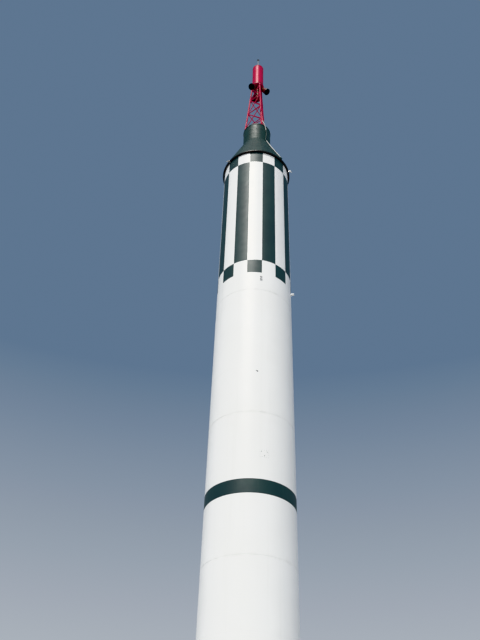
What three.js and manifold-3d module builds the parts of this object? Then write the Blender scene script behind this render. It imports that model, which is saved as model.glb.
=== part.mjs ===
// A slender single-stage rocket with a small crew capsule and an escape tower on its nose.
// Millimetres, +Z up. The origin is the centre of the base ring, on the plane of its foot pads.
// Azimuth 0 is the -Y side and azimuth 90 the +X side.

import * as THREE from "three";
import { mergeVertices } from "three/addons/utils/BufferGeometryUtils.js";
import Module from "manifold-3d";

const wasm = await Module();
wasm.setup();

// Driving dimensions of the booster
const BODY_RADIUS = 890;
const BODY_FACETS = 64;
const ROUND_FACETS = 48; // of the capsule's neck and the motor
const ENGINE_FACETS = 32;
const NARROW_FACETS = 24; // of nozzles and other slim round pieces
const SHAFT_FACETS = 16;
const GAP = 0.3; // clear space between pieces that rest on each other
const SHELL_WALL = 26;
const TAIL_TOP = 2750;
const CAPSULE_BASE = 18000;
const QUADRANTS = [0, 90, 180, 270];

// Body sections between the ring joints: name, bottom, top
const SECTIONS = [
  ["tank_section_lower", TAIL_TOP, 6561],
  ["tank_section_middle", 6561, 9495],
  ["tank_section_upper", 9495, 12825],
  ["instrument_section", 12825, 17990],
];

// Paint laid over the body: dark band, and two check rows above and below long stripes
const PAINT_DEPTHS = [0.4, 2];
const BAND_BOTTOM = 7722;
const BAND_TOP = 8013;
const STRIPE_ANGLE = 22.5;
const CHECK_LEVELS = [13367, 13786, 17586, 17985];
const CORNER_LAP_ANGLE = 0.3;
const CORNER_LAP = 4;

// Tail: base ring with foot pads, flame shield, ring that holds the jet vanes
const PAD_WIDTH = 220;
const PAD_SETBACK = 10; // from the body's side
const PAD_LAP = 20; // height that a pad shares with the ring
const RING_LIFT = 25;
const BASE_RING_TOP = 80;
const BASE_RING_INNER = 790;
const SHIELD_BOTTOM = 300;
const SHIELD_TOP = 330;
const SHIELD_HOLE = 470;
const VANE_RING_INNER = 520;
const VANE_RING_OUTER = 570;
const VANE_RING_BOTTOM = 110;
const VANE_LUG_INNER = 462;
const VANE_LUG_SIDE = 90;
const VANE_LUG_LAP = 10; // short of the ring's outer side
const VANE_BORE = 24;
const BORE_OVERRUN = 20;

// Jet vanes, as radii from the axis and heights
const VANE_AXIS = 195;
const VANE_SHAFT = 18;
const VANE_SHAFT_ENDS = [255, 600];
const VANE_BLADE_ENDS = [215, 440];
const VANE_BOTTOM = 40;
const VANE_TOP = 285;
const VANE_HALF_THICKNESS = { bottom: 4, axis: 17, top: 10 };

// Engine: an open nozzle, the thrust chamber over it, and the machinery above as a plain block
const NOZZLE_EXIT = 345;
const NOZZLE_EXIT_RADIUS = 430;
const THROAT_RADIUS = 195;
const THROAT_HEIGHT = 960;
const CHAMBER_RADIUS = 310;
const CHAMBER_BOTTOM = 1150;
const CHAMBER_TOP = 1560;
const NOZZLE_WALL = 22;
const NOZZLE_STEPS = 3;
const NOZZLE_CURVE = 0.8; // exponent of the bell's outline
const ENGINE_RADIUS = 430;
const BULKHEAD = 40;

// Fins and rudders, as radii from the axis and heights
const FIN_TIP = 1980;
const FIN_ROOT_TOP = 2640;
const FIN_TIP_TOP = 1190;
const FIN_BOTTOM = 120;
const FIN_ROOT_THICKNESS = 118;
const FIN_TIP_THICKNESS = 62;
const FIN_EDGE = 12;
const FIN_SHOULDER = 0.32; // share of the fin's height, from its top, that tapers to the edge
const RUDDER_INNER = 1390;
const RUDDER_TOP = 610;
const RUDDER_AXIS = 500;
const RUDDER_CLEARANCE = 12;
const RUDDER_THINNING = { axis: 0.94, top: 0.75 }; // shares of the fin tip's thickness
const RUDDER_SHAFT = 18;
const RUDDER_BORE = 23;
const SHAFT_LENGTH = 70;
const SHAFT_LAP = 20; // length of a shaft inside its rudder
const BORE_DEPTH = 80;

// Small fittings on the body, as azimuth and height
const VENT_COVER = { azimuth: 10, height: 13185, width: 76, tall: 150, depth: 14 };
const SIDE_BRACKET = { azimuth: 79.5, height: 13335, width: 60, tall: 34, depth: 82 };

// Capsule, heights above its base
const CAPSULE_RADIUS = 945;
const CLAMP_RADIUS = 915;
const RIM_HEIGHT = 34;
const RIM_CHAMFER = 12;
const CONE_TOP = 1400;
const NECK_RADIUS = 400;
const NECK_TOP = 2070;
const CANISTER_RADIUS = 372;
const CANISTER_TOP = 2365;
const CANISTER_TIP_RADIUS = 150;
const CANISTER_FOOT = 15;
const HATCH = { azimuths: [157.5, 202.5], heights: [240, 1040], depth: 9 };
const WINDOW = { azimuths: [228.75, 243.75], heights: [760, 1080], depth: 6 };
const GUY_LUG_AZIMUTHS = [-52, 73, 191];
const LUG_REACH = 1002;
const LUG_DROP = 46;
const LUG_THICKNESS = 14;
const LUG_HOLE = 13;
const LUG_HOLE_INSET = 30; // from the lug's outer end

// Light cable from the tower's front leg down the capsule to its rim: azimuth, radius, height
const CABLE_RADIUS = 11;
const CABLE_STEPS = 45;
const CABLE_ROUTE = [
  [20, 374, 2860],
  [21, 390, 2640],
  [22, 406, 2440],
  [25, 420, 2240],
  [30, 425, 2130],
  [35, 422, 2040],
  [40, 416, 1900],
  [42, 415, 1700],
  [40, 416, 1500],
  [38, 424, 1390],
  [37, 470, 1280],
  [37, 568, 1034],
  [38, 689, 730],
  [41, 788, 482],
  [44, 886, 236],
  [46, 948, 80],
];

// Escape tower, heights above the capsule's base
const TOWER_BASE = 2110;
const TOWER_TOP = 4700;
const TOWER_RING_TOP = 4735;
const TOWER_RING = [156, 202];
const TOWER_SEAT_GAP = 3; // between the canister and the tower's clamp ring
const TOWER_SEAT_LIP = 8; // past the neck's side
const FOOT_PAD = [44, 90, 60];
const FOOT_INSET = 14; // from the neck's side to the middle of a pad
const LEG_FOOT_RADIUS = 388;
const LEG_TOP_RADIUS = 180;
const LEG_AZIMUTHS = [-100, 20, 140];
const LEG_TUBE = 24;
const LEG_FACETS = 8;
const LEG_LIFT = 15;
const LEG_LAP = 10; // into the top ring
const BRACE_TUBE = 12;
const BRACE_FACETS = 6;
const BRACE_LEVELS = [2500, 3280, 4020, 4650];
const MOTOR_RADIUS = 178;
const MOTOR_BOTTOM = 4800;
const MOTOR_TOP = 5890;
const NOZZLE_AZIMUTHS = [-40, 80, 200];
const NOZZLE_CANT = 36.87; // degrees from straight down
const NOZZLE_ROOT = { radius: 105, height: 4673.8 };
const NOZZLE_BOSS = { radius: 48, proud: 10, sunk: 50, facets: 12 };
const SKIRT_FOOT = 4640;
const MAST_TOP = 6492;
const MAST_CAP_BOTTOM = 6440;

// Outlines of the tower's round pieces, as radius and height; a cup's height is along its axis
const SKIRT_OUTLINE = [
  [0, SKIRT_FOOT],
  [60, SKIRT_FOOT],
  [150, 4707.5],
  [150, TOWER_RING_TOP + GAP],
  [186, TOWER_RING_TOP + GAP],
  [186, MOTOR_BOTTOM],
  [0, MOTOR_BOTTOM],
];
const MOTOR_OUTLINE = [
  [0, MOTOR_BOTTOM + GAP],
  [MOTOR_RADIUS, MOTOR_BOTTOM + GAP],
  [MOTOR_RADIUS, MOTOR_TOP - 45],
  [MOTOR_RADIUS - 14, MOTOR_TOP - 16],
  [MOTOR_RADIUS - 60, MOTOR_TOP],
  [0, MOTOR_TOP],
];
const CUP_OUTLINE = [
  [0, 0],
  [42, 0],
  [42, 40],
  [64, 110],
  [88, 210],
  [105, 332],
  [97, 332],
  [80, 212],
  [56, 114],
  [30, 70],
  [0, 70],
];
const JETTISON_OUTLINE = [
  [0, 4000],
  [34, 3945],
  [42, 3945],
  [26, 4010],
  [80, 4040],
  [80, 4600],
  [58, SKIRT_FOOT - GAP],
  [0, SKIRT_FOOT - GAP],
];
const MAST_OUTLINE = [
  [0, MOTOR_TOP + GAP],
  [60, MOTOR_TOP + GAP],
  [60, MOTOR_TOP + 10],
  [16, MOTOR_TOP + 34],
  [13, MAST_CAP_BOTTOM - GAP],
  [0, MAST_CAP_BOTTOM - GAP],
];
const MAST_CAP_OUTLINE = [
  [0, MAST_CAP_BOTTOM],
  [14, MAST_CAP_BOTTOM],
  [30, MAST_CAP_BOTTOM + 8],
  [34, MAST_CAP_BOTTOM + 30],
  [24, MAST_TOP - 4],
  [18, MAST_TOP],
  [0, MAST_TOP],
];

const FINISHES = {
  white_paint: { color: 0xf3f2ef, roughness: 0.35, metalness: 0.0 },
  dark_paint: { color: 0x1d2a26, roughness: 0.3, metalness: 0.0 },
  red_paint: { color: 0xa30f2c, roughness: 0.35, metalness: 0.0 },
  dark_red_paint: { color: 0x5e1018, roughness: 0.45, metalness: 0.0 },
  capsule_metal: { color: 0x2b332f, roughness: 0.45, metalness: 0.3 },
  bare_steel: { color: 0x8f9193, roughness: 0.4, metalness: 0.9 },
  heat_steel: { color: 0x4c4742, roughness: 0.6, metalness: 0.7 },
  graphite: { color: 0x26262a, roughness: 0.75, metalness: 0.1 },
  black_nozzle: { color: 0x131313, roughness: 0.5, metalness: 0.3 },
  light_cable: { color: 0xc9c4bb, roughness: 0.5, metalness: 0.0 },
  window_glass: { color: 0x10161c, roughness: 0.08, metalness: 0.0 },
};

const materials = {};
for (const [name, look] of Object.entries(FINISHES)) {
  materials[name] = new THREE.MeshStandardMaterial(look);
}

// Direction of an azimuth, and the turn about Z that brings the +X axis to it
function outward(azimuth) {
  const angle = THREE.MathUtils.degToRad(azimuth);
  return new THREE.Vector3(Math.sin(angle), -Math.cos(angle), 0);
}
function turnTo(azimuth) {
  return THREE.MathUtils.degToRad(azimuth - 90);
}
function pointAt(azimuth, radius, height) {
  return outward(azimuth).multiplyScalar(radius).setZ(height);
}

// Solids of revolution about Z from [radius, height] pairs, counter-clockwise
function turned(profile, facets = BODY_FACETS) {
  const points = profile.map(([radius, height]) => new THREE.Vector2(radius, height));
  const geometry = new THREE.LatheGeometry(points, facets);
  geometry.rotateX(Math.PI / 2);
  return geometry;
}
function drum(radius, bottom, top, facets) {
  return turned([[0, bottom], [radius, bottom], [radius, top], [0, top]], facets);
}
function ring(inner, outer, bottom, top, facets) {
  return turned(
    [[inner, bottom], [outer, bottom], [outer, top], [inner, top], [inner, bottom]],
    facets,
  );
}

// Skin through convex sections of equally many points, closed by a face at each end
function loft(sections) {
  const count = sections[0].length;
  const last = (sections.length - 1) * count;
  const faces = [];
  for (let s = 0; s < last; s += count) {
    for (let i = 0; i < count; i++) {
      const next = (i + 1) % count;
      faces.push(s + i, s + next, s + next + count);
      faces.push(s + i, s + next + count, s + i + count);
    }
  }
  for (let i = 1; i + 1 < count; i++) {
    faces.push(0, i + 1, i);
    faces.push(last, last + i, last + i + 1);
  }
  const geometry = new THREE.BufferGeometry();
  geometry.setFromPoints(sections.flat());
  geometry.setIndex(faces);
  return geometry;
}

function rod(from, to, radius, sides = SHAFT_FACETS) {
  const along = to.clone().sub(from);
  const geometry = new THREE.CylinderGeometry(radius, radius, along.length(), sides);
  const turn = new THREE.Quaternion().setFromUnitVectors(
    new THREE.Vector3(0, 1, 0),
    along.clone().normalize(),
  );
  geometry.applyQuaternion(turn);
  const middle = from.clone().add(to).multiplyScalar(0.5);
  geometry.translate(middle.x, middle.y, middle.z);
  return geometry;
}
function block(size, centre) {
  const geometry = new THREE.BoxGeometry(...size);
  geometry.translate(...centre);
  return geometry;
}

// Joining and cutting
function solid(geometry) {
  const bare = new THREE.BufferGeometry();
  const flat = geometry.index ? geometry.toNonIndexed() : geometry;
  bare.setAttribute("position", flat.getAttribute("position"));
  const merged = mergeVertices(bare, 1e-3);
  return new wasm.Manifold(
    new wasm.Mesh({
      numProp: 3,
      vertProperties: merged.attributes.position.array,
      triVerts: new Uint32Array(merged.index.array),
    }),
  );
}
function shapeOf(body) {
  const mesh = body.getMesh();
  const geometry = new THREE.BufferGeometry();
  geometry.setAttribute("position", new THREE.BufferAttribute(mesh.vertProperties, 3));
  geometry.setIndex(new THREE.BufferAttribute(mesh.triVerts, 1));
  const flat = geometry.toNonIndexed();
  flat.computeVertexNormals();
  return flat;
}
function joined(geometries) {
  return shapeOf(geometries.map(solid).reduce((whole, next) => whole.add(next)));
}
function cut(geometry, tools) {
  return shapeOf(tools.map(solid).reduce((left, tool) => left.subtract(tool), solid(geometry)));
}

function add(group, name, geometry, finish) {
  const mesh = new THREE.Mesh(geometry, materials[finish].clone());
  mesh.name = name;
  group.add(mesh);
  return mesh;
}

// Azimuths from one side of a curved plate to the other, with its bends on the body's facets
function facetAzimuths(fromAzimuth, toAzimuth) {
  const step = 360 / BODY_FACETS;
  const azimuths = [fromAzimuth];
  for (let a = Math.floor(fromAzimuth / step + 1) * step; a < toAzimuth - 1e-6; a += step) {
    azimuths.push(a);
  }
  azimuths.push(toAzimuth);
  return azimuths;
}

// Curved plate whose inner and outer faces follow radiusAt(height) plus an offset
function curvedPlate([fromAzimuth, toAzimuth], [bottom, top], radiusAt, [inner, outer]) {
  return loft(
    facetAzimuths(fromAzimuth, toAzimuth).map((azimuth) => [
      pointAt(azimuth, radiusAt(bottom) + inner, bottom),
      pointAt(azimuth, radiusAt(top) + inner, top),
      pointAt(azimuth, radiusAt(top) + outer, top),
      pointAt(azimuth, radiusAt(bottom) + outer, bottom),
    ]),
  );
}
function paintPatch(middle, halfWidth, bottom, top) {
  return curvedPlate(
    [middle - halfWidth, middle + halfWidth],
    [bottom, top],
    () => BODY_RADIUS,
    PAINT_DEPTHS,
  );
}

// Dark fields: squares over the fins' azimuths in both check rows, stripes between them
function checkPattern() {
  const [low, stripeLow, stripeHigh, high] = CHECK_LEVELS;
  const half = STRIPE_ANGLE / 2;
  const wide = half + CORNER_LAP_ANGLE;
  const patches = [];
  for (let azimuth = 0; azimuth < 360; azimuth += 2 * STRIPE_ANGLE) {
    const between = azimuth + STRIPE_ANGLE;
    patches.push(paintPatch(azimuth, half, low, stripeLow));
    patches.push(paintPatch(azimuth, half, stripeHigh, high));
    patches.push(paintPatch(between, wide, stripeLow - CORNER_LAP, stripeHigh + CORNER_LAP));
  }
  return joined(patches);
}

function makeSections(group) {
  for (const [name, bottom, top] of SECTIONS) {
    add(group, name, drum(BODY_RADIUS, bottom + GAP, top), "white_paint");
  }
  const [bandInner, bandOuter] = PAINT_DEPTHS.map((depth) => BODY_RADIUS + depth);
  const band = ring(bandInner, bandOuter, BAND_BOTTOM, BAND_TOP);
  add(group, "dark_band", band, "dark_paint");
  add(group, "dark_check_pattern", checkPattern(), "dark_paint");
}

function makeTail(group) {
  const inner = BODY_RADIUS - SHELL_WALL;
  const ceiling = TAIL_TOP - BULKHEAD;
  const shell = turned([
    [inner, BASE_RING_TOP + GAP],
    [BODY_RADIUS, BASE_RING_TOP + GAP],
    [BODY_RADIUS, TAIL_TOP],
    [0, TAIL_TOP],
    [0, ceiling],
    [inner, ceiling],
    [inner, BASE_RING_TOP + GAP],
  ]);
  add(group, "tail_shell", shell, "white_paint");

  const hoop = ring(BASE_RING_INNER, BODY_RADIUS - GAP, RING_LIFT, BASE_RING_TOP);
  const padDepth = BODY_RADIUS - BASE_RING_INNER - PAD_SETBACK;
  const padHeight = RING_LIFT + PAD_LAP;
  const padMiddle = BODY_RADIUS - PAD_SETBACK - padDepth / 2;
  const pads = QUADRANTS.map((azimuth) =>
    block([padDepth, PAD_WIDTH, padHeight], [padMiddle, 0, padHeight / 2]).rotateZ(turnTo(azimuth)),
  );
  add(group, "base_ring", joined([hoop, ...pads]), "bare_steel");

  const shield = ring(SHIELD_HOLE, inner - GAP, SHIELD_BOTTOM, SHIELD_TOP);
  add(group, "flame_shield", shield, "heat_steel");

  const collar = ring(
    VANE_RING_INNER,
    VANE_RING_OUTER,
    VANE_RING_BOTTOM,
    SHIELD_BOTTOM - GAP,
    ROUND_FACETS,
  );
  const reach = VANE_RING_OUTER - VANE_LUG_LAP - VANE_LUG_INNER;
  const lugs = [];
  const bores = [];
  for (const azimuth of QUADRANTS) {
    const lug = block(
      [reach, VANE_LUG_SIDE, VANE_LUG_SIDE],
      [VANE_LUG_INNER + reach / 2, 0, VANE_AXIS],
    );
    lugs.push(lug.rotateZ(turnTo(azimuth)));
    bores.push(
      rod(
        pointAt(azimuth, VANE_LUG_INNER - BORE_OVERRUN, VANE_AXIS),
        pointAt(azimuth, VANE_RING_OUTER + BORE_OVERRUN, VANE_AXIS),
        VANE_BORE,
      ),
    );
  }
  add(group, "vane_ring", cut(joined([collar, ...lugs]), bores), "heat_steel");
}

function makeEngine(group) {
  const outside = [];
  const inside = [];
  for (let step = 0; step <= NOZZLE_STEPS; step++) {
    const share = step / NOZZLE_STEPS;
    const flare = (NOZZLE_EXIT_RADIUS - THROAT_RADIUS) * Math.pow(1 - share, NOZZLE_CURVE);
    const height = NOZZLE_EXIT + (THROAT_HEIGHT - NOZZLE_EXIT) * share;
    outside.push([THROAT_RADIUS + flare + NOZZLE_WALL, height]);
    inside.unshift([THROAT_RADIUS + flare, height]);
  }
  const nozzle = turned([...outside, ...inside, outside[0]], ENGINE_FACETS);
  add(group, "engine_nozzle", nozzle, "heat_steel");

  const chamber = turned(
    [
      [0, THROAT_HEIGHT + GAP],
      [THROAT_RADIUS + NOZZLE_WALL, THROAT_HEIGHT + GAP],
      [CHAMBER_RADIUS, CHAMBER_BOTTOM],
      [CHAMBER_RADIUS, CHAMBER_TOP],
      [0, CHAMBER_TOP],
    ],
    ENGINE_FACETS,
  );
  add(group, "thrust_chamber", chamber, "heat_steel");
  const machineryTop = TAIL_TOP - BULKHEAD - GAP;
  const machinery = drum(ENGINE_RADIUS, CHAMBER_TOP + GAP, machineryTop, ENGINE_FACETS);
  add(group, "engine_block", machinery, "bare_steel");
}

// Section of the +X side's fin, which is a wedge that is thickest at its root
function finSection(radius) {
  const share = (radius - BODY_RADIUS) / (FIN_TIP - BODY_RADIUS);
  const top = FIN_ROOT_TOP + (FIN_TIP_TOP - FIN_ROOT_TOP) * share;
  const half = (FIN_ROOT_THICKNESS + (FIN_TIP_THICKNESS - FIN_ROOT_THICKNESS) * share) / 2;
  const shoulder = top - (top - FIN_BOTTOM) * FIN_SHOULDER;
  const edge = FIN_EDGE / 2;
  return [
    [-edge, FIN_BOTTOM],
    [edge, FIN_BOTTOM],
    [half, RUDDER_AXIS],
    [half, shoulder],
    [edge, top],
    [-edge, top],
    [-half, shoulder],
    [-half, RUDDER_AXIS],
  ].map(([side, height]) => new THREE.Vector3(radius, side, height));
}

// Six-cornered section of a blade, thickest at its axis
function bladeSection(radius, [bottom, axis, top], half) {
  return [
    [-half.bottom, bottom],
    [half.bottom, bottom],
    [half.axis, axis],
    [half.top, top],
    [-half.top, top],
    [-half.axis, axis],
  ].map(([side, height]) => new THREE.Vector3(radius, side, height));
}

function makeFins(group) {
  const whole = loft([finSection(BODY_RADIUS + GAP), finSection(FIN_TIP)]);
  const notchReach = 2 * (FIN_TIP - RUDDER_INNER);
  const notch = block(
    [notchReach, 2 * FIN_ROOT_THICKNESS, RUDDER_TOP],
    [RUDDER_INNER + notchReach / 2, 0, RUDDER_TOP / 2],
  );
  const bore = rod(
    new THREE.Vector3(RUDDER_INNER - BORE_DEPTH, 0, RUDDER_AXIS),
    new THREE.Vector3(RUDDER_INNER + BORE_OVERRUN, 0, RUDDER_AXIS),
    RUDDER_BORE,
  );
  const fin = cut(whole, [notch, bore]);

  const inner = RUDDER_INNER + RUDDER_CLEARANCE;
  const rudderLevels = [FIN_BOTTOM, RUDDER_AXIS, RUDDER_TOP - RUDDER_CLEARANCE];
  const rudderHalf = {
    bottom: FIN_EDGE / 2,
    axis: (FIN_TIP_THICKNESS / 2) * RUDDER_THINNING.axis,
    top: (FIN_TIP_THICKNESS / 2) * RUDDER_THINNING.top,
  };
  const blade = loft(
    [inner, FIN_TIP].map((radius) => bladeSection(radius, rudderLevels, rudderHalf)),
  );
  const shaft = rod(
    new THREE.Vector3(RUDDER_INNER - SHAFT_LENGTH, 0, RUDDER_AXIS),
    new THREE.Vector3(inner + SHAFT_LAP, 0, RUDDER_AXIS),
    RUDDER_SHAFT,
  );
  const rudder = joined([blade, shaft]);

  const vaneLevels = [VANE_BOTTOM, VANE_AXIS, VANE_TOP];
  const vaneBlade = loft(
    VANE_BLADE_ENDS.map((radius) => bladeSection(radius, vaneLevels, VANE_HALF_THICKNESS)),
  );
  const [shaftFrom, shaftTo] = VANE_SHAFT_ENDS.map(
    (radius) => new THREE.Vector3(radius, 0, VANE_AXIS),
  );
  const vane = joined([vaneBlade, rod(shaftFrom, shaftTo, VANE_SHAFT)]);

  QUADRANTS.forEach((azimuth, index) => {
    const quadrant = new THREE.Group();
    quadrant.rotation.z = turnTo(azimuth);
    add(quadrant, `fin_${index + 1}`, fin, "white_paint");
    add(quadrant, `rudder_${index + 1}`, rudder, "white_paint");
    add(quadrant, `jet_vane_${index + 1}`, vane, "graphite");
    group.add(quadrant);
  });
}

function coneRadius(height) {
  const share = (height - RIM_HEIGHT) / (CONE_TOP - RIM_HEIGHT);
  return CAPSULE_RADIUS + (NECK_RADIUS - CAPSULE_RADIUS) * share;
}

function makeFittings(group) {
  for (const [name, fitting] of [
    ["vent_cover", VENT_COVER],
    ["side_bracket", SIDE_BRACKET],
  ]) {
    const { azimuth, height, width, tall, depth } = fitting;
    const plate = block([depth, width, tall], [BODY_RADIUS + 2 * GAP + depth / 2, 0, 0]);
    const mesh = add(group, name, plate, "white_paint");
    mesh.rotation.z = turnTo(azimuth);
    mesh.position.z = height;
  }
}

function makeCapsule(group) {
  const clamp = drum(CLAMP_RADIUS, SECTIONS.at(-1)[2] - CAPSULE_BASE + GAP, -GAP);
  add(group, "capsule_clamp_ring", clamp, "black_nozzle");

  const cone = turned([
    [0, 0],
    [CAPSULE_RADIUS - RIM_CHAMFER, 0],
    [CAPSULE_RADIUS, RIM_CHAMFER],
    [CAPSULE_RADIUS, RIM_HEIGHT],
    [NECK_RADIUS, CONE_TOP],
    [0, CONE_TOP],
  ]);
  add(group, "capsule_cone", cone, "capsule_metal");
  for (const [name, plate, finish] of [
    ["side_hatch", HATCH, "capsule_metal"],
    ["capsule_window", WINDOW, "window_glass"],
  ]) {
    const depths = [2 * GAP, plate.depth];
    add(group, name, curvedPlate(plate.azimuths, plate.heights, coneRadius, depths), finish);
  }

  const neck = drum(NECK_RADIUS, CONE_TOP + GAP, NECK_TOP, ROUND_FACETS);
  add(group, "recovery_section", neck, "capsule_metal");
  const canister = turned(
    [
      [0, NECK_TOP + GAP],
      [CANISTER_RADIUS, NECK_TOP + GAP],
      [CANISTER_RADIUS, NECK_TOP + CANISTER_FOOT],
      [CANISTER_TIP_RADIUS, CANISTER_TOP],
      [0, CANISTER_TOP],
    ],
    ROUND_FACETS,
  );
  add(group, "antenna_canister", canister, "capsule_metal");

  const lugPlate = block(
    [LUG_REACH - CLAMP_RADIUS - 2 * GAP, LUG_THICKNESS, LUG_DROP - GAP],
    [(CLAMP_RADIUS + LUG_REACH) / 2, 0, -(LUG_DROP + GAP) / 2],
  );
  const [holeFrom, holeTo] = [-LUG_THICKNESS, LUG_THICKNESS].map(
    (side) => new THREE.Vector3(LUG_REACH - LUG_HOLE_INSET, side, -LUG_DROP / 2),
  );
  const lug = cut(lugPlate, [rod(holeFrom, holeTo, LUG_HOLE)]);
  GUY_LUG_AZIMUTHS.forEach((azimuth, index) => {
    add(group, `guy_lug_${index + 1}`, lug, "bare_steel").rotation.z = turnTo(azimuth);
  });
}

function makeCable(group) {
  const route = CABLE_ROUTE.map(([azimuth, radius, height]) => pointAt(azimuth, radius, height));
  const section = new THREE.Shape();
  section.absarc(0, 0, CABLE_RADIUS, 0, 2 * Math.PI);
  const cable = new THREE.ExtrudeGeometry(section, {
    extrudePath: new THREE.CatmullRomCurve3(route),
    steps: CABLE_STEPS,
    curveSegments: 4,
  });
  add(group, "light_cable", cable, "light_cable");
}

// Point on a tower leg's centre line
function legPoint(azimuth, height) {
  const share = (height - TOWER_BASE) / (TOWER_TOP - TOWER_BASE);
  return pointAt(azimuth, LEG_FOOT_RADIUS + (LEG_TOP_RADIUS - LEG_FOOT_RADIUS) * share, height);
}

function makeTower(group) {
  const seat = ring(
    CANISTER_RADIUS + TOWER_SEAT_GAP,
    NECK_RADIUS + TOWER_SEAT_LIP,
    NECK_TOP + GAP,
    TOWER_BASE,
    ROUND_FACETS,
  );
  add(group, "tower_clamp_ring", seat, "capsule_metal");

  const members = [ring(...TOWER_RING, TOWER_TOP, TOWER_RING_TOP, NARROW_FACETS)];
  const padMiddle = [NECK_RADIUS - FOOT_INSET, 0, TOWER_BASE + FOOT_PAD[2] / 2 + GAP];
  LEG_AZIMUTHS.forEach((azimuth, index) => {
    const next = LEG_AZIMUTHS[(index + 1) % LEG_AZIMUTHS.length];
    const foot = legPoint(azimuth, TOWER_BASE + 2 * GAP + LEG_LIFT);
    members.push(rod(foot, legPoint(azimuth, TOWER_TOP + LEG_LAP), LEG_TUBE, LEG_FACETS));
    members.push(block(FOOT_PAD, padMiddle).rotateZ(turnTo(azimuth)));
    BRACE_LEVELS.slice(0, -1).forEach((level, bay) => {
      const above = BRACE_LEVELS[bay + 1];
      for (const [from, to] of [[level, level], [level, above], [above, level]]) {
        members.push(rod(legPoint(azimuth, from), legPoint(next, to), BRACE_TUBE, BRACE_FACETS));
      }
    });
  });
  add(group, "tower_lattice", joined(members), "red_paint");

  const down = THREE.MathUtils.degToRad(180 - NOZZLE_CANT);
  const axis = new THREE.Vector3(Math.sin(down), 0, Math.cos(down));
  const root = new THREE.Vector3(NOZZLE_ROOT.radius, 0, NOZZLE_ROOT.height);
  const bossStart = root.clone().addScaledVector(axis, -NOZZLE_BOSS.sunk);
  const bossEnd = root.clone().addScaledVector(axis, NOZZLE_BOSS.proud);
  const bosses = NOZZLE_AZIMUTHS.map((azimuth) =>
    rod(bossStart, bossEnd, NOZZLE_BOSS.radius, NOZZLE_BOSS.facets).rotateZ(turnTo(azimuth)),
  );
  const skirt = joined([turned(SKIRT_OUTLINE, ENGINE_FACETS), ...bosses]);
  add(group, "motor_skirt", skirt, "dark_red_paint");

  const cup = turned(CUP_OUTLINE, NARROW_FACETS);
  const cupStart = bossEnd.clone().addScaledVector(axis, GAP);
  NOZZLE_AZIMUTHS.forEach((azimuth, index) => {
    const side = new THREE.Group();
    side.rotation.z = turnTo(azimuth);
    const nozzle = add(side, `motor_nozzle_${index + 1}`, cup, "black_nozzle");
    nozzle.position.copy(cupStart);
    nozzle.rotation.y = down;
    group.add(side);
  });

  for (const [name, outline, facets, finish] of [
    ["escape_motor", MOTOR_OUTLINE, ROUND_FACETS, "red_paint"],
    ["jettison_motor", JETTISON_OUTLINE, NARROW_FACETS, "dark_red_paint"],
    ["nose_mast", MAST_OUTLINE, SHAFT_FACETS, "light_cable"],
    ["mast_cap", MAST_CAP_OUTLINE, SHAFT_FACETS, "black_nozzle"],
  ]) {
    add(group, name, turned(outline, facets), finish);
  }
}

const booster = new THREE.Group();
makeTail(booster);
makeEngine(booster);
makeSections(booster);
makeFins(booster);
makeFittings(booster);

const capsule = new THREE.Group();
capsule.position.z = CAPSULE_BASE;
makeCapsule(capsule);
makeCable(capsule);
makeTower(capsule);

const rocket = new THREE.Group();
rocket.add(booster, capsule);

export default rocket;
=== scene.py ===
# Looks of a slender white rocket with a dark crew capsule and a red escape tower on its nose.
# Metres, +Z up. Azimuth 0 is the side that faces the camera (-Y), and azimuth 90 is +X.
from itertools import pairwise
from math import atan2, ceil, cos, degrees, radians, sin, tau

import bmesh
import bpy
from mathutils import Matrix, Vector


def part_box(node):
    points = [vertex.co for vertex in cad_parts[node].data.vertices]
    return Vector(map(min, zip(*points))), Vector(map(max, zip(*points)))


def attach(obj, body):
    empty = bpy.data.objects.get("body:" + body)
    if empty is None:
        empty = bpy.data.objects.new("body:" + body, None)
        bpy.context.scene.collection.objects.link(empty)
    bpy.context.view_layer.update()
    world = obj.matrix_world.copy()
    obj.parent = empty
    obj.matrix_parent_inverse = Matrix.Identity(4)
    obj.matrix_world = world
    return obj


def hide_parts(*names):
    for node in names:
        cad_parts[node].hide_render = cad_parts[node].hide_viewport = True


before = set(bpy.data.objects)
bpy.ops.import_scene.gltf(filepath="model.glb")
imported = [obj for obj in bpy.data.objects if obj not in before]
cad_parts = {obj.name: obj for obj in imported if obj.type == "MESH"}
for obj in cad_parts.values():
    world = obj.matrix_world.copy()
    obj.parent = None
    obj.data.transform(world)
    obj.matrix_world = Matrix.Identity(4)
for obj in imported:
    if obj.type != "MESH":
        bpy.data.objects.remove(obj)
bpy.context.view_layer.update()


# Places taken from the frame

def span(node):
    """Heights of a node's bottom and top."""
    return [corner.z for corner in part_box(node)]


def reach(node):
    """How far a node reaches along +X, which is the radius of a round one."""
    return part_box(node)[1].x


BODY_RADIUS = reach("tail_shell")
TAIL_TOP = span("tail_shell")[1]
CAPSULE_RADIUS = reach("capsule_cone")
CAPSULE_BASE, CONE_TOP = span("capsule_cone")
NECK_RADIUS = reach("recovery_section")
NECK_TOP = span("recovery_section")[1]
CANISTER_RADIUS = reach("antenna_canister")
CANISTER_TOP = span("antenna_canister")[1]
CAP_FOOT, MAST_TOP = span("mast_cap")
SECTIONS = {
    "tank_skin_lower": "tank_section_lower",
    "tank_skin_middle": "tank_section_middle",
    "tank_skin_upper": "tank_section_upper",
    "instrument_skin": "instrument_section",
}
JOINTS = [TAIL_TOP] + [span(node)[1] for node in SECTIONS.values()]
QUADRANTS = [0, 90, 180, 270]
BETWEEN_FINS = [45, 135, 225, 315]
SIDES = (-1, 1)

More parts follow.
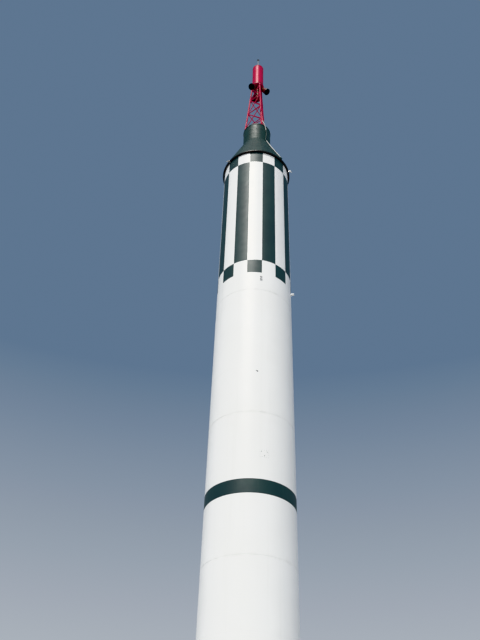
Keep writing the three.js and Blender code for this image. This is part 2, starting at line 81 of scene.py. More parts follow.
# Fineness of the round shapes, in sides
BODY_SIDES = 192
DRUM_SIDES = 96
CUP_SIDES = 64
FITTING_SIDES = 32
TUBE_SIDES = 24
FINE_TUBE_SIDES = 20
SCREW_SIDES = 8

SMOOTH_ANGLE = 20  # edges that turn by less than this many degrees are shaded smooth
WELD_DISTANCE = 1e-5
PLATE_ROOT = 0.004  # how deep the back of a curved plate lies in the skin
PLATE_PROUD = 0.0012  # how far its face stands out
PLATE_BEVEL = (0.0009, 1, 50)  # width, segments and angle


# Places, and outlines as [radius, height] points

def moved(x=0, y=0, z=0):
    return Matrix.Translation((x, y, z))


def tilt(angle, axis="Y"):
    """A turn by an angle in degrees."""
    return Matrix.Rotation(radians(angle), 4, axis)


LEAN = tilt(90)  # turns +Z to +X, and +X to -Z
UPRIGHT = tilt(-90)  # turns +X to +Z


def turn_to(azimuth):
    """The turn that takes a shape modelled on +X to an azimuth."""
    return tilt(azimuth - 90, "Z")


def turns(azimuths):
    return [turn_to(azimuth) for azimuth in azimuths]


def on_wall(azimuth, radius, height):
    """A place on a round wall, with +X pointing out of it."""
    return turn_to(azimuth) @ moved(radius, 0, height)


def on_side(radius, side, half, height):
    """A place on either side of a plate that stands along +X, with +X pointing out of that side."""
    return moved(radius, side * half, height) @ tilt(side * 90, "Z")


def stacked(radius, heights):
    """Places one above the other on +X."""
    return [moved(radius, 0, height) for height in heights]


def in_pairs(radius, away, heights):
    """Places on both sides of +X at each height."""
    return [moved(radius, side * away, height) for side in SIDES for height in heights]


def point_at(azimuth, radius, height):
    angle = radians(azimuth)
    return Vector((sin(angle) * radius, -cos(angle) * radius, height))


def aligned(centre, along):
    """A place at a centre, with +Z turned to a direction."""
    return moved(*centre) @ along.to_track_quat("Z", "Y").to_matrix().to_4x4()


def part_way(first, last, share):
    """The value at a share of the way from the first to the last."""
    return first + (last - first) * share


def spread(half, count):
    """Evenly spaced distances from -half to half."""
    return [half * (2 * index / (count - 1) - 1) for index in range(count)]


def along_edges(half_turn, half_rise, across, up):
    """Places along the four edges of a plate, as turn and rise from its middle."""
    places = [(turn, rise) for turn in spread(half_turn, across) for rise in (-half_rise, half_rise)]
    return places + [(side * half_turn, rise) for rise in spread(half_rise, up)[1:-1] for side in SIDES]


def four(inner, outer, bottom, top):
    return [(inner, bottom), (outer, bottom), (outer, top), (inner, top)]


def ridge(root, crown, middle, half_foot, half_crown):
    """Outline of a low ridge round a middle height."""
    return [
        (root, middle - half_foot), (crown, middle - half_crown),
        (crown, middle + half_crown), (root, middle + half_foot),
    ]


def raised(outline, base):
    return [(radius, base + height) for radius, height in outline]


# Modelling helpers

def alone(piece):
    """Makes one piece the whole selection."""
    bpy.ops.object.select_all(action="DESELECT")
    piece.select_set(True)
    bpy.context.view_layer.objects.active = piece


def named(name):
    piece = bpy.context.active_object
    piece.name = name
    piece.data.name = name
    return piece


def added(name, primitive, **settings):
    """Adds a primitive with nothing else selected."""
    bpy.ops.object.select_all(action="DESELECT")
    primitive(**settings)
    return named(name)


def linked(name, data):
    """A new object in the scene."""
    item = bpy.data.objects.new(name, data)
    bpy.context.scene.collection.objects.link(item)
    return item


def placed(piece, matrix):
    """Moves a piece's mesh, with the piece itself left at the origin."""
    piece.matrix_world = matrix
    alone(piece)
    bpy.ops.object.transform_apply(location=True, rotation=True, scale=True)
    return piece


def edit(piece, kind="FACE"):
    alone(piece)
    bpy.ops.object.mode_set(mode="EDIT")
    bpy.ops.mesh.select_mode(type=kind)
    bpy.ops.mesh.select_all(action="SELECT")


def pick(piece, kind, test):
    """Goes into edit mode and selects only the faces, edges or verts that pass a test."""
    edit(piece, kind)
    bpy.ops.mesh.select_all(action="DESELECT")
    mesh = bmesh.from_edit_mesh(piece.data)
    for item in {"FACE": mesh.faces, "EDGE": mesh.edges, "VERT": mesh.verts}[kind]:
        if test(item):
            item.select_set(True)
    mesh.select_flush_mode()
    bmesh.update_edit_mesh(piece.data)


def done():
    bpy.ops.object.mode_set(mode="OBJECT")


def closed_up():
    """In edit mode, merges doubles and turns all faces outwards."""
    bpy.ops.mesh.select_all(action="SELECT")
    bpy.ops.mesh.remove_doubles(threshold=WELD_DISTANCE)
    bpy.ops.mesh.normals_make_consistent(inside=False)


def drawn(name, outline):
    """Draws an outline by extruding one vertex from point to point; stays in edit mode."""
    piece = added(name, bpy.ops.mesh.primitive_plane_add, size=0.01, enter_editmode=True)
    bpy.ops.mesh.select_mode(type="VERT")
    bpy.ops.mesh.select_all(action="SELECT")
    bpy.ops.mesh.merge(type="CENTER")
    bpy.ops.transform.translate(value=(outline[0][0], 0, outline[0][1]))
    for (radius, height), (next_radius, next_height) in pairwise(outline):
        step = (next_radius - radius, 0, next_height - height)
        bpy.ops.mesh.extrude_region_move(TRANSFORM_OT_translate={"value": step})
    bpy.ops.mesh.select_all(action="SELECT")
    return piece


def turned(name, outline, sides=BODY_SIDES):
    """A piece of revolution about Z. The outline ends on the axis or closes on itself."""
    piece = drawn(name, outline)
    bpy.ops.mesh.spin(steps=sides, angle=tau, center=(0, 0, 0), axis=(0, 0, 1))
    closed_up()
    bpy.ops.mesh.delete_loose()
    done()
    return piece


def hoop(name, section, sides=BODY_SIDES):
    """A closed section turned about Z."""
    return turned(name, [*section, section[0]], sides)


def ring(name, inner, outer, bottom, top, sides=BODY_SIDES):
    return hoop(name, four(inner, outer, bottom, top), sides)


def swept(name, section, azimuths, steps):
    """A curved plate: a closed section swept about Z between two azimuths."""
    piece = drawn(name, section)
    bpy.ops.mesh.edge_face_add()
    bpy.ops.mesh.select_all(action="SELECT")
    sweep = radians(azimuths[1] - azimuths[0])
    bpy.ops.mesh.spin(steps=steps, angle=-sweep, center=(0, 0, 0), axis=(0, 0, 1))
    closed_up()
    done()
    return placed(piece, turn_to(azimuths[0]))


def box(name, size, centre=(0, 0, 0)):
    cube = added(name, bpy.ops.mesh.primitive_cube_add, size=1)
    return placed(cube, moved(*centre) @ Matrix.Diagonal((*size, 1)))


def cylinder(name, sides, radius, depth):
    cylinder_add = bpy.ops.mesh.primitive_cylinder_add
    return added(name, cylinder_add, vertices=sides, radius=radius, depth=depth)


def rod(name, start, end, radius, sides=TUBE_SIDES):
    """A round bar from one point to another."""
    start, end = Vector(start), Vector(end)
    piece = cylinder(name, sides, radius, (end - start).length)
    return placed(piece, aligned((start + end) / 2, end - start))


def tube_along(name, points, radius, sides=FINE_TUBE_SIDES):
    """A tube along a smooth line through points, as a mesh."""
    line = added(name, bpy.ops.curve.primitive_bezier_curve_add, enter_editmode=False).data
    line.splines.clear()
    spline = line.splines.new("BEZIER")
    spline.bezier_points.add(len(points) - 1)
    for knot, point in zip(spline.bezier_points, points):
        knot.co = point
        knot.handle_left_type = knot.handle_right_type = "AUTO"
    line.dimensions = "3D"
    line.resolution_u = 6
    line.bevel_depth = radius
    line.bevel_resolution = sides // 2 - 2
    line.use_fill_caps = True
    alone(bpy.context.active_object)
    bpy.ops.object.convert(target="MESH")
    piece = bpy.context.active_object
    edit(piece)
    closed_up()
    done()
    return piece


def joined(name, pieces):
    alone(pieces[0])
    for piece in pieces[1:]:
        piece.select_set(True)
    if len(pieces) > 1:
        bpy.ops.object.join()
    return named(name)


def copies(piece, matrices):
    """Joined copies of a piece, one for each matrix; the pattern itself is used up."""
    twins = []
    for matrix in matrices:
        twins.append(linked("copy", piece.data.copy()))
        twins[-1].data.transform(matrix)
    name = piece.name
    bpy.data.objects.remove(piece)
    return joined(name, twins)


def repeated_round(piece, count):
    """Repeats a piece evenly about the rocket's axis."""
    return copies(piece, [tilt(360 * index / count, "Z") for index in range(count)])


def with_modifier(piece, kind, **settings):
    alone(piece)
    bpy.ops.object.modifier_add(type=kind)
    modifier = piece.modifiers[-1]
    for key, value in settings.items():
        setattr(modifier, key, value)
    bpy.ops.object.modifier_apply(modifier=modifier.name)
    return piece


def bevelled(piece, width, segments=2, angle=25):
    return with_modifier(
        piece, "BEVEL", width=width, segments=segments,
        limit_method="ANGLE", angle_limit=radians(angle), harden_normals=False,
    )


def inset_top(piece, thickness, depth):
    """Insets the face at a piece's upper end and lifts it."""
    pick(piece, "FACE", lambda face: face.normal.z > 0.9)
    bpy.ops.mesh.inset(thickness=thickness, depth=depth)
    done()


def screw(name, radius=0.0045, proud=0.0009, sides=SCREW_SIDES):
    """A low screw head at the origin that faces +X, its foot sunk in the wall."""
    sunk = 0.001
    head = cylinder(name, sides, radius, proud + sunk)
    inset_top(head, radius * 0.35, proud * 0.5)
    return placed(head, moved((proud - sunk) / 2) @ LEAN)


def rivet(name):
    return screw(name, 0.005, 0.0018, 6)


def hex_bolt(name, radius=0.011, proud=0.009):
    """A hexagon bolt head on a washer, at the origin, facing +X."""
    washer_thickness, washer_top = 0.003, 0.001
    washer = cylinder("washer", 12, radius * 1.5, washer_thickness)
    placed(washer, moved(washer_top / 2) @ LEAN)
    head = cylinder("head", 6, radius, proud)
    inset_top(head, radius * 0.2, proud * 0.15)
    placed(head, moved(washer_top + proud / 2) @ LEAN)
    return joined(name, [washer, head])


def from_node(node, name):
    """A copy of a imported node's mesh, merged, with its flat faces made whole."""
    piece = linked(name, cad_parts[node].data.copy())
    alone(piece)
    bpy.ops.mesh.customdata_custom_splitnormals_clear()
    edit(piece)
    bpy.ops.mesh.remove_doubles(threshold=WELD_DISTANCE)
    bpy.ops.mesh.dissolve_limited(angle_limit=radians(1.0))
    done()
    return piece


def dress(piece, slot, *replaces, body="root", smooth=SMOOTH_ANGLE):
    """Gives a finished piece its finish, its shading and the body that it rides on."""
    alone(piece)
    piece.data.materials.clear()
    piece.data.materials.append(finishes[slot])
    bpy.ops.object.shade_smooth_by_angle(angle=radians(smooth))
    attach(piece, body)
    if replaces:
        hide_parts(*replaces)


def recast(node, name, bevel, slot, body="root"):
    """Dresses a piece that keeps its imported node's shape, with rounded edges."""
    dress(bevelled(from_node(node, name), bevel), slot, node, body=body)


def fasten(head, places, count=1, slot="bare_steel", body="root"):
    """Dresses copies of a screw or bolt at its places, repeated evenly round the rocket."""
    dress(repeated_round(copies(head, places), count), slot, body=body)


# Finishes

class Colours:
    """Nodes that lay colours over a base colour in patches.

    A pattern is a socket, or the scale, detail and stretch of a noise.
    """

    def __init__(self, tree, base, coordinates="Object"):
        self.nodes, self.links = tree.nodes, tree.links
        self.place = self.nodes.new("ShaderNodeTexCoord").outputs[coordinates]
        self.colour = (*base, 1)

    def feed(self, socket, value):
        if isinstance(value, bpy.types.NodeSocket):
            self.links.new(value, socket)
        else:
            socket.default_value = value

    def node(self, kind, result, inputs, **settings):
        """Adds a node, feeds its inputs and returns one of its outputs."""
        node = self.nodes.new("ShaderNode" + kind)
        for key, value in settings.items():
            setattr(node, key, value)
        for socket, value in inputs.items():
            self.feed(node.inputs[socket], value)
        return node.outputs[result]

    def noise(self, scale, detail, stretch=None):
        place = self.place
        if stretch:
            place = self.node("Mapping", "Vector", {"Vector": place, "Scale": stretch})
        return self.node("TexNoise", "Fac", {"Vector": place, "Scale": scale, "Detail": detail})

    def value(self, pattern):
        return self.noise(*pattern) if isinstance(pattern, tuple) else pattern

    def between(self, pattern, low, high, to_low=0.0, to_high=1.0):
        """Rises from to_low to to_high as the pattern goes from low to high."""
        limits = {"From Min": low, "From Max": high, "To Min": to_low, "To Max": to_high}
        return self.node("MapRange", "Result", {"Value": self.value(pattern), **limits})

    def rough(self, scale, low, high):
        """A roughness that wanders from low to high."""
        return self.between((scale, 4), 0.3, 0.7, low, high)

    def maths(self, operation, first, second=0.0):
        return self.node("Math", "Value", {0: first, 1: second}, operation=operation)

    def height(self):
        return self.node("SeparateXYZ", "Z", {"Vector": self.place})

    def near_heights(self, heights, away):
        """1 at each height, fading to 0 at a distance above and below it."""
        level = self.height()
        whole = 0.0
        for height in heights:
            gap = self.maths("ABSOLUTE", self.maths("SUBTRACT", level, height))
            whole = self.maths("MAXIMUM", self.between(gap, 0.0, away, 1.0, 0.0), whole)
        return whole

    def lay(self, colour, pattern, low=0.0, high=1.0, share=1.0):
        """Lays a colour over the last, up to a share, as the pattern goes from low to high."""
        mask = self.between(pattern, low, high, 0.0, share)
        self.colour = self.node("Mix", 2, {0: mask, 6: self.colour, 7: (*colour, 1)}, data_type="RGBA")


class Surface(Colours):
    """A node material on Object coordinates."""

    def __init__(self, name, base, metallic=0.0, specular=0.5, tint=(1, 1, 1), coat=0.0, coat_roughness=0.12):
        self.material = bpy.data.materials.new(name)
        self.material.use_nodes = True
        super().__init__(self.material.node_tree, base)
        self.shader = self.nodes["Principled BSDF"].inputs
        for socket, value in {
            "Metallic": metallic, "Specular IOR Level": specular, "Specular Tint": (*tint, 1),
            "Coat Weight": coat, "Coat Roughness": coat_roughness,
        }.items():
            self.feed(self.shader[socket], value)

    def finish(self, roughness, *relief):
        """Links colour and roughness, and stacks bumps given as a pattern and a depth in metres."""
        self.feed(self.shader["Base Color"], self.colour)
        self.feed(self.shader["Roughness"], roughness)
        normal = {}
        for pattern, depth in relief:
            bump = {"Distance": depth, "Height": self.value(pattern), **normal}
            normal = {"Normal": self.node("Bump", "Normal", bump)}
        for socket, value in normal.items():
            self.feed(self.shader[socket], value)
        return self.material


def white_enamel():
    """Satin white enamel: faint clouds, rain streaks, grime along the ring joints, a scorched foot."""
    look = Surface("white_enamel", (0.855, 0.850, 0.832), specular=0.35)
    look.lay((0.885, 0.882, 0.868), (0.9, 4), 0.35, 0.65)
    look.lay((0.60, 0.60, 0.56), (1.0, 5, (9, 9, 0.22)), 0.56, 0.78, 0.16)
    grime = look.maths("MULTIPLY", look.near_heights(JOINTS, 0.05), look.between((7, 4), 0.4, 0.7))
    look.lay((0.42, 0.41, 0.37), grime, share=0.2)
    scorch = look.maths("MULTIPLY", look.between(look.height(), 0.05, 1.1, 1.0, 0.0), look.noise(3.0, 5))
    look.lay((0.45, 0.42, 0.36), scorch, share=0.35)
    return look.finish(look.rough(5, 0.30, 0.42), ((2.2, 2), 0.004), ((260, 2), 0.00012))


def dark_enamel():
    """Glossy green-black enamel, a little chalky in patches and streaks."""
    look = Surface("dark_enamel", (0.004, 0.027, 0.030), specular=0.6, coat=0.30, coat_roughness=0.40)
    look.lay((0.010, 0.040, 0.039), (1.6, 4), 0.35, 0.7)
    look.lay((0.040, 0.070, 0.062), (1.0, 5, (14, 14, 0.3)), 0.55, 0.8, 0.4)
    return look.finish(look.rough(6, 0.60, 0.70), ((2.2, 2), 0.003), ((260, 2), 0.0001))


def crimson_enamel():
    """Gloss crimson enamel, sun-faded in patches and worn to a darker coat in small chips."""
    look = Surface("crimson_enamel", (0.38, 0.007, 0.042), specular=0.35, tint=(1.0, 0.62, 0.72))
    look.lay((0.48, 0.011, 0.058), (3.5, 4), 0.35, 0.7)
    look.lay((0.10, 0.012, 0.014), (34, 5), 0.66, 0.72, 0.6)
    return look.finish(look.rough(9, 0.38, 0.48), ((420, 2), 0.00008))


def scorched_red():
    """Dull dark red enamel with soot."""
    look = Surface("scorched_red", (0.13, 0.005, 0.008), tint=(1.0, 0.80, 0.66))
    look.lay((0.035, 0.007, 0.007), (11, 5), 0.38, 0.66)
    return look.finish(look.rough(18, 0.38, 0.60), ((300, 3), 0.0001))


def capsule_coating():
    """Dark grey-green high-temperature coating, oxidised in clouds and fine vertical streaks."""
    look = Surface("capsule_coating", (0.010, 0.034, 0.031), specular=0.45)
    look.lay((0.021, 0.050, 0.044), (3.0, 5), 0.35, 0.68)
    look.lay((0.085, 0.090, 0.072), (1.0, 5, (26, 26, 1.2)), 0.5, 0.75, 0.35)
    return look.finish(look.rough(14, 0.48, 0.60), ((5, 3), 0.0015), ((500, 2), 0.0001))


def bare_steel():
    """Weathered steel: brushed grain, dull patches and a little rust."""
    look = Surface("bare_steel", (0.33, 0.335, 0.34), metallic=0.85)
    grain = look.noise(1.0, 4, (260, 260, 12))
    look.lay((0.52, 0.52, 0.515), grain, 0.3, 0.7)
    look.lay((0.20, 0.105, 0.055), (16, 6), 0.60, 0.72, 0.55)
    return look.finish(look.rough(22, 0.34, 0.58), (grain, 0.0001), ((90, 3), 0.0003))


def heat_steel():
    """Steel with heat stains that run from straw to blue-grey and soot."""
    look = Surface("heat_steel", (0.25, 0.215, 0.18), metallic=0.6)
    look.lay((0.34, 0.33, 0.345), (4.5, 5), 0.32, 0.68)
    look.lay((0.40, 0.275, 0.15), (9, 4), 0.52, 0.68, 0.55)
    look.lay((0.06, 0.056, 0.052), (2.6, 5), 0.5, 0.72, 0.6)
    return look.finish(look.rough(25, 0.42, 0.68), ((60, 4), 0.0004))


def vane_graphite():
    """Machined graphite: near black, soft sheen, fine tool marks and pits."""
    look = Surface("vane_graphite", (0.032, 0.032, 0.034), metallic=0.15)
    marks = look.noise(1.0, 3, (700, 700, 40))
    look.lay((0.062, 0.062, 0.066), (20, 4), 0.35, 0.65)
    cells = look.node("TexVoronoi", "Distance", {"Vector": look.place, "Scale": 240})
    pits = look.between(cells, 0.0, 0.18)
    return look.finish(look.between(marks, 0.3, 0.7, 0.48, 0.66), (marks, 0.00012), (pits, 0.0003))


def black_heat_paint():
    """Black heat paint, burnt brown in patches."""
    look = Surface("black_heat_paint", (0.010, 0.010, 0.011), metallic=0.2)
    look.lay((0.040, 0.027, 0.018), (14, 5), 0.45, 0.72, 0.8)
    return look.finish(look.rough(30, 0.36, 0.55), ((350, 3), 0.00012))


def pale_sheathing():
    """Pale cable sheathing and bare mast tube, greyed by weather in patches, and darker blue-grey towards the
    nose.
    """
    look = Surface("pale_sheathing", (0.72, 0.70, 0.66))
    look.lay((0.46, 0.45, 0.43), (12, 5), 0.4, 0.7, 0.7)
    # Darker blue-grey from the neck's top up to the mast's top.
    look.lay((0.17, 0.18, 0.20), look.height(), NECK_TOP, MAST_TOP, 0.9)
    return look.finish(look.rough(40, 0.36, 0.55), ((300, 2), 0.0001))


def window_glass():
    """Dark blanking behind a polished pane, with dust."""
    look = Surface("window_glass", (0.010, 0.014, 0.018), specular=0.8, coat=1.0)
    look.lay((0.10, 0.10, 0.095), (45, 5), 0.5, 0.8, 0.35)
    return look.finish(look.between((60, 4), 0.3, 0.8, 0.05, 0.2))


finishes = {
    "white_paint": white_enamel(),
    "dark_paint": dark_enamel(),
    "red_paint": crimson_enamel(),
    "dark_red_paint": scorched_red(),
    "capsule_metal": capsule_coating(),
    "bare_steel": bare_steel(),
    "heat_steel": heat_steel(),
    "graphite": vane_graphite(),
    "black_nozzle": black_heat_paint(),
    "light_cable": pale_sheathing(),
    "window_glass": window_glass(),
}


# Camera, light and stage

LENS = 41.04  # mm
SENSOR = 36  # mm, along the picture's height
CAMERA_DISTANCE = 12.9355  # from the rocket's axis
EYE_HEIGHT = 1.35
CAMERA_ELEVATION = 41.149
CAMERA_PAN = -1.422
CAMERA_ROLL = 1.941
SUN_AZIMUTH = -17
SUN_ELEVATION = 52
SUN_STRENGTH = 3.25
SUN_SPREAD = 16  # degrees across its disc
SUN_COLOUR = (1.0, 0.965, 0.90)
BACKDROP_LOW = (0.65, 0.665, 0.68)
BACKDROP_HIGH = (0.15, 0.22, 0.32)
BACKDROP_FADE = (0.05, 0.60)  # sines of the elevations between which the backdrop deepens
FLOOR_RADIUS = 400


def make_camera():
    data = bpy.data.cameras.new("camera")
    data.lens = LENS
    data.sensor_width = SENSOR
    data.clip_end = 500
    camera = linked("camera", data)
    camera.matrix_world = (
        moved(0, -CAMERA_DISTANCE, EYE_HEIGHT) @ tilt(-CAMERA_PAN, "Z")
        @ tilt(90 + CAMERA_ELEVATION, "X") @ tilt(CAMERA_ROLL, "Z")
    )
    bpy.context.scene.camera = camera


def make_sun():
    data = bpy.data.lights.new("soft_key", "SUN")
    data.energy = SUN_STRENGTH
    data.angle = radians(SUN_SPREAD)
    data.color = SUN_COLOUR
    sun = linked("soft_key", data)
    sun.matrix_world = tilt(SUN_AZIMUTH, "Z") @ tilt(90 - SUN_ELEVATION, "X")


def make_backdrop():
    """A pale backdrop that deepens upwards."""
    world = bpy.data.worlds.new("backdrop")
    world.use_nodes = True
    sky = Colours(world.node_tree, BACKDROP_LOW, "Generated")
    sky.lay(BACKDROP_HIGH, sky.height(), *BACKDROP_FADE)
    sky.feed(sky.nodes["Background"].inputs["Color"], sky.colour)
    bpy.context.scene.world = world
    bpy.context.scene.view_settings.view_transform = "Khronos PBR Neutral"


def make_floor():
    circle_add = bpy.ops.mesh.primitive_circle_add
    floor = added("floor", circle_add, vertices=96, radius=FLOOR_RADIUS, fill_type="NGON")
    look = Surface("pale_floor", (0.61, 0.61, 0.61))
    look.lay((0.65, 0.65, 0.65), (0.4, 3))
    floor.data.materials.append(look.finish(0.8))


# Body

JOINT_HALF, JOINT_DEPTH = 0.004, 0.003  # half width and depth of the groove at each ring joint
PAINT_LAYER = (BODY_RADIUS - 0.003, BODY_RADIUS + 0.0009)
STRIPE_ANGLE = 22.5
CHECK_ROWS = (0.419, 0.399)  # heights of the lower and the upper row of squares
SCREW_OFFSET = 0.024
PANELS = [  # azimuth, height of the middle, width, height, screws across, screws up
    (16.2, 8.562, 0.20, 0.17, 5, 4),
    (135, 3.35, 0.34, 0.46, 6, 7),
    (225, 3.35, 0.34, 0.46, 6, 7),
    (128, 13.05, 0.42, 0.36, 7, 6),
    (232, 13.05, 0.42, 0.36, 7, 6),
    (180, 9.95, 0.24, 0.24, 5, 5),
    (270, 12.35, 0.20, 0.30, 4, 6),
]
PANEL_MARGIN = 0.013
PORTS = [  # azimuth, height, radius, and how far what holds the port stands out of the skin
    (4.6, 10.505, 0.012, 0),
    (6.4, 10.49, 0.016, 0),
    (160, 13.05, 0.026, 0),
    (200, 13.05, 0.026, 0),
    (12.6, 8.598, 0.007, PLATE_PROUD),
    (19.8, 8.597, 0.007, PLATE_PROUD),
    (16.5, 8.515, 0.008, PLATE_PROUD),
]


def body_sections():
    """Sections chamfered where they meet, with rows of screws at each joint."""
    waist = BODY_RADIUS - JOINT_DEPTH
    for name, node in SECTIONS.items():
        bottom, top = span(node)
        dress(turned(name, [
            (0, bottom), (waist, bottom), (BODY_RADIUS, bottom + JOINT_HALF),
            (BODY_RADIUS, top - JOINT_HALF), (waist, top), (0, top),
        ]), "white_paint", node)
    heights = [joint + side * SCREW_OFFSET for joint in JOINTS[:-1] for side in SIDES]
    fasten(screw("ring_joint_screws"), stacked(BODY_RADIUS, heights), 96, "white_paint")


def body_welds():
    """Low weld beads: staggered lengthwise ones, and rings between."""
    width, root, crown = 0.007, BODY_RADIUS - 0.002, BODY_RADIUS + 0.0008
    plate_height, margin, thick = 1.6, 0.05, 0.004
    beads = []
    for index, (bottom, top) in enumerate(pairwise(JOINTS)):
        length = top - bottom - 2 * margin
        bead = box("bead", (thick, width, length), (crown - thick / 2, 0, (bottom + top) / 2))
        first = 30 + 60 * (index % 2)
        beads.append(copies(bevelled(bead, 0.0006, 1), turns([first, first + 120, first + 240])))
        count = ceil(length / plate_height)
        for step in range(1, count):
            height = part_way(bottom, top, step / count)
            beads.append(hoop("bead", ridge(root, crown, height, width / 2, width / 4)))
    dress(joined("body_weld_beads", beads), "white_paint")


def paint_fields():
    """Dark band, and the checks and long stripes round the instrument section."""
    dress(ring("dark_band_paint", *PAINT_LAYER, *span("dark_band")), "dark_paint", "dark_band")
    low, high = span("dark_check_pattern")
    levels = [low, low + CHECK_ROWS[0], high - CHECK_ROWS[1], high]
    fields = []
    for middle, (bottom, top) in zip((0, STRIPE_ANGLE, 0), pairwise(levels)):
        edges = (middle - STRIPE_ANGLE / 2, middle + STRIPE_ANGLE / 2)
        section = four(*PAINT_LAYER, bottom, top)
        field = swept("field", section, edges, round(BODY_SIDES * STRIPE_ANGLE / 360))
        fields.append(repeated_round(field, 8))
    dress(joined("check_and_stripe_paint", fields), "dark_paint", "dark_check_pattern")


def access_panels():
    """Flush panels let into the skin, each edged by screws."""
    face = BODY_RADIUS + PLATE_PROUD
    panels, places = [], []
    for azimuth, middle, width, tall, across, up in PANELS:
        half_turn, half_tall = degrees(width / BODY_RADIUS) / 2, tall / 2
        section = four(BODY_RADIUS - PLATE_ROOT, face, middle - half_tall, middle + half_tall)
        edges = (azimuth - half_turn, azimuth + half_turn)
        panel = swept("panel", section, edges, max(4, ceil(half_turn)))
        panels.append(bevelled(panel, *PLATE_BEVEL))
        inset = (half_turn - degrees(PANEL_MARGIN / BODY_RADIUS), half_tall - PANEL_MARGIN)
        for turn, rise in along_edges(*inset, across, up):
            places.append(on_wall(azimuth + turn, face, middle + rise))
    dress(joined("access_panels", panels), "white_paint")
    fasten(screw("access_panel_screws"), places)


def small_ports():
    """Round ports in the skin: a raised lip round a dark plug."""
    lips, plugs = [], []
    for azimuth, height, radius, seat in PORTS:
        place = on_wall(azimuth, BODY_RADIUS + seat, height) @ LEAN
        lips.append(placed(hoop("lip", [
            (radius, -0.003), (radius * 1.45, -0.003), (radius * 1.40, 0.002),
            (radius * 1.15, 0.004), (radius, 0.003),
        ], TUBE_SIDES), place))
        plug = turned("plug", [(0, -0.002), (radius, -0.002), (radius, 0.0005), (0, 0.0012)], TUBE_SIDES)
        plugs.append(placed(plug, place))
    dress(joined("port_lips", lips), "white_paint")
    dress(joined("port_plugs", plugs), "dark_paint")


def wall_spot(node):
    """The place of a small fitting on the body's wall, and the fitting's height."""
    low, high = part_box(node)
    middle = (low + high) / 2
    return on_wall(degrees(atan2(middle.x, -middle.y)), BODY_RADIUS, middle.z), high.z - low.z


def vent_cover():
    """A rounded plate that carries two round louvred vents, one above the other."""
    spot, tall = wall_spot("vent_cover")
    width, depth, root = 0.076, 0.009, 0.004
    plate = box("vent_plate", (depth + root, width, tall), ((depth - root) / 2, 0, 0))
    pick(plate, "EDGE", lambda edge: abs(edge.verts[0].co.x - edge.verts[1].co.x) > depth / 2)
    bpy.ops.mesh.bevel(offset=0.03, segments=6)
    done()
    dress(placed(bevelled(plate, 0.002, 2, 50), spot), "white_paint", "vent_cover")
    bore, pitch = 0.023, 0.0085
    section = [(bore, -0.006), (0.031, -0.002), (0.031, 0.002), (0.029, 0.0045), (0.024, 0.0045)]
    parts = []
    for rise in (-tall / 4, tall / 4):
        vent = spot @ moved(depth, 0, rise)
        parts.append(placed(hoop("cup", section, FITTING_SIDES), vent @ LEAN))
        for step in range(-2, 3):
            chord = 2 * (bore**2 - (step * pitch) ** 2) ** 0.5
            slat = box("slat", (0.0035, chord, 0.004))
            parts.append(placed(slat, vent @ moved(z=step * pitch) @ tilt(35)))
    dress(joined("vent_cups", parts), "bare_steel")


def side_bracket():
    """A shelf on a bolted flange, with two ribs under it."""
    spot, tall = wall_spot("side_bracket")
    depth, width, rib_depth = 0.082, 0.060, 0.070
    parts = [
        bevelled(box("shelf", (depth, width, 0.018), (depth / 2, 0, tall / 2 - 0.009)), 0.003),
        bevelled(box("flange", (0.005, width, tall), (0.0025, 0, 0)), 0.002),
    ]
    for side in SIDES:
        rib = box("rib", (rib_depth, 0.005, 0.020), (rib_depth / 2, side * 0.024, -0.006))
        pick(rib, "VERT", lambda vert: vert.co.x > 0.05 and vert.co.z < -0.01)
        bpy.ops.transform.translate(value=(0, 0, 0.017))
        done()
        parts.append(rib)
    dress(placed(joined("side_bracket_box", parts), spot), "white_paint", "side_bracket")
    places = [spot @ place for place in in_pairs(0.005, 0.012, (-0.010, 0.0))]
    fasten(hex_bolt("bracket_bolts", 0.005, 0.004), places)


# Tail

TAIL_WALL = BODY_RADIUS - 0.026  # inner radius of the shell
BASE_RING_TOP = span("base_ring")[1]
CEILING = TAIL_TOP - 0.040
DOUBLER_PROUD = 0.0014
DOOR = (77, 103, 1.05, 1.43)  # azimuths of its sides, heights of its sill and head
DOOR_PROUD = 0.003
FIN_TIP = -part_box("fin_1")[0].y
FIN_BOTTOM, FIN_ROOT_TOP = span("fin_1")
FIN_TIP_TOP = 1.190
FIN_THICK = (0.059, 0.031)  # half thickness at the root and at the tip
FIN_EDGE = 0.006
FIN_COLLAR = 0.045  # how far the collar reaches out from the shell
RIVET_PITCH = 0.055
RUDDER_RIVET_PITCH = 0.050
RUDDER_AXIS = 0.500  # height of the shafts
RUDDER_INNER = 1.390
RUDDER_TOP = 0.610
RUDDER_THICK = FIN_THICK[1] * 0.94
VANE_AXIS = 0.195  # height of the shafts
VANE_CLAMP = 0.424  # radius of the clamps on the shafts
BELL_EXIT, BELL_THROAT = 0.430, 0.195  # inner radii
BELL_WALL = 0.022


def tail_skin():
    """The tail's shell, open below, with doublers and rivets."""
    foot = BASE_RING_TOP + 0.0003
    dress(hoop("tail_skin", [
        (TAIL_WALL, foot), (BODY_RADIUS - 0.0005, foot), (BODY_RADIUS, foot + 0.002),
        (BODY_RADIUS, TAIL_TOP - JOINT_HALF), (BODY_RADIUS - JOINT_DEPTH, TAIL_TOP), (0, TAIL_TOP),
        (0, CEILING), (TAIL_WALL, CEILING),
    ]), "white_paint", "tail_shell")
    doublers = []
    for heights in ((foot + 0.004, foot + 0.070), (0.290, 0.345)):
        doubler = ring("doubler", BODY_RADIUS - 0.003, BODY_RADIUS + DOUBLER_PROUD, *heights)
        doublers.append(bevelled(doubler, *PLATE_BEVEL))
    dress(joined("tail_doublers", doublers), "white_paint")
    on_doublers = stacked(BODY_RADIUS + DOUBLER_PROUD, (foot + 0.022, foot + 0.052, 0.304, 0.331))
    on_skin = stacked(BODY_RADIUS, (0.92, 1.52, 2.12))
    fasten(screw("tail_rivets", 0.004), on_doublers + on_skin, 120, "white_paint")


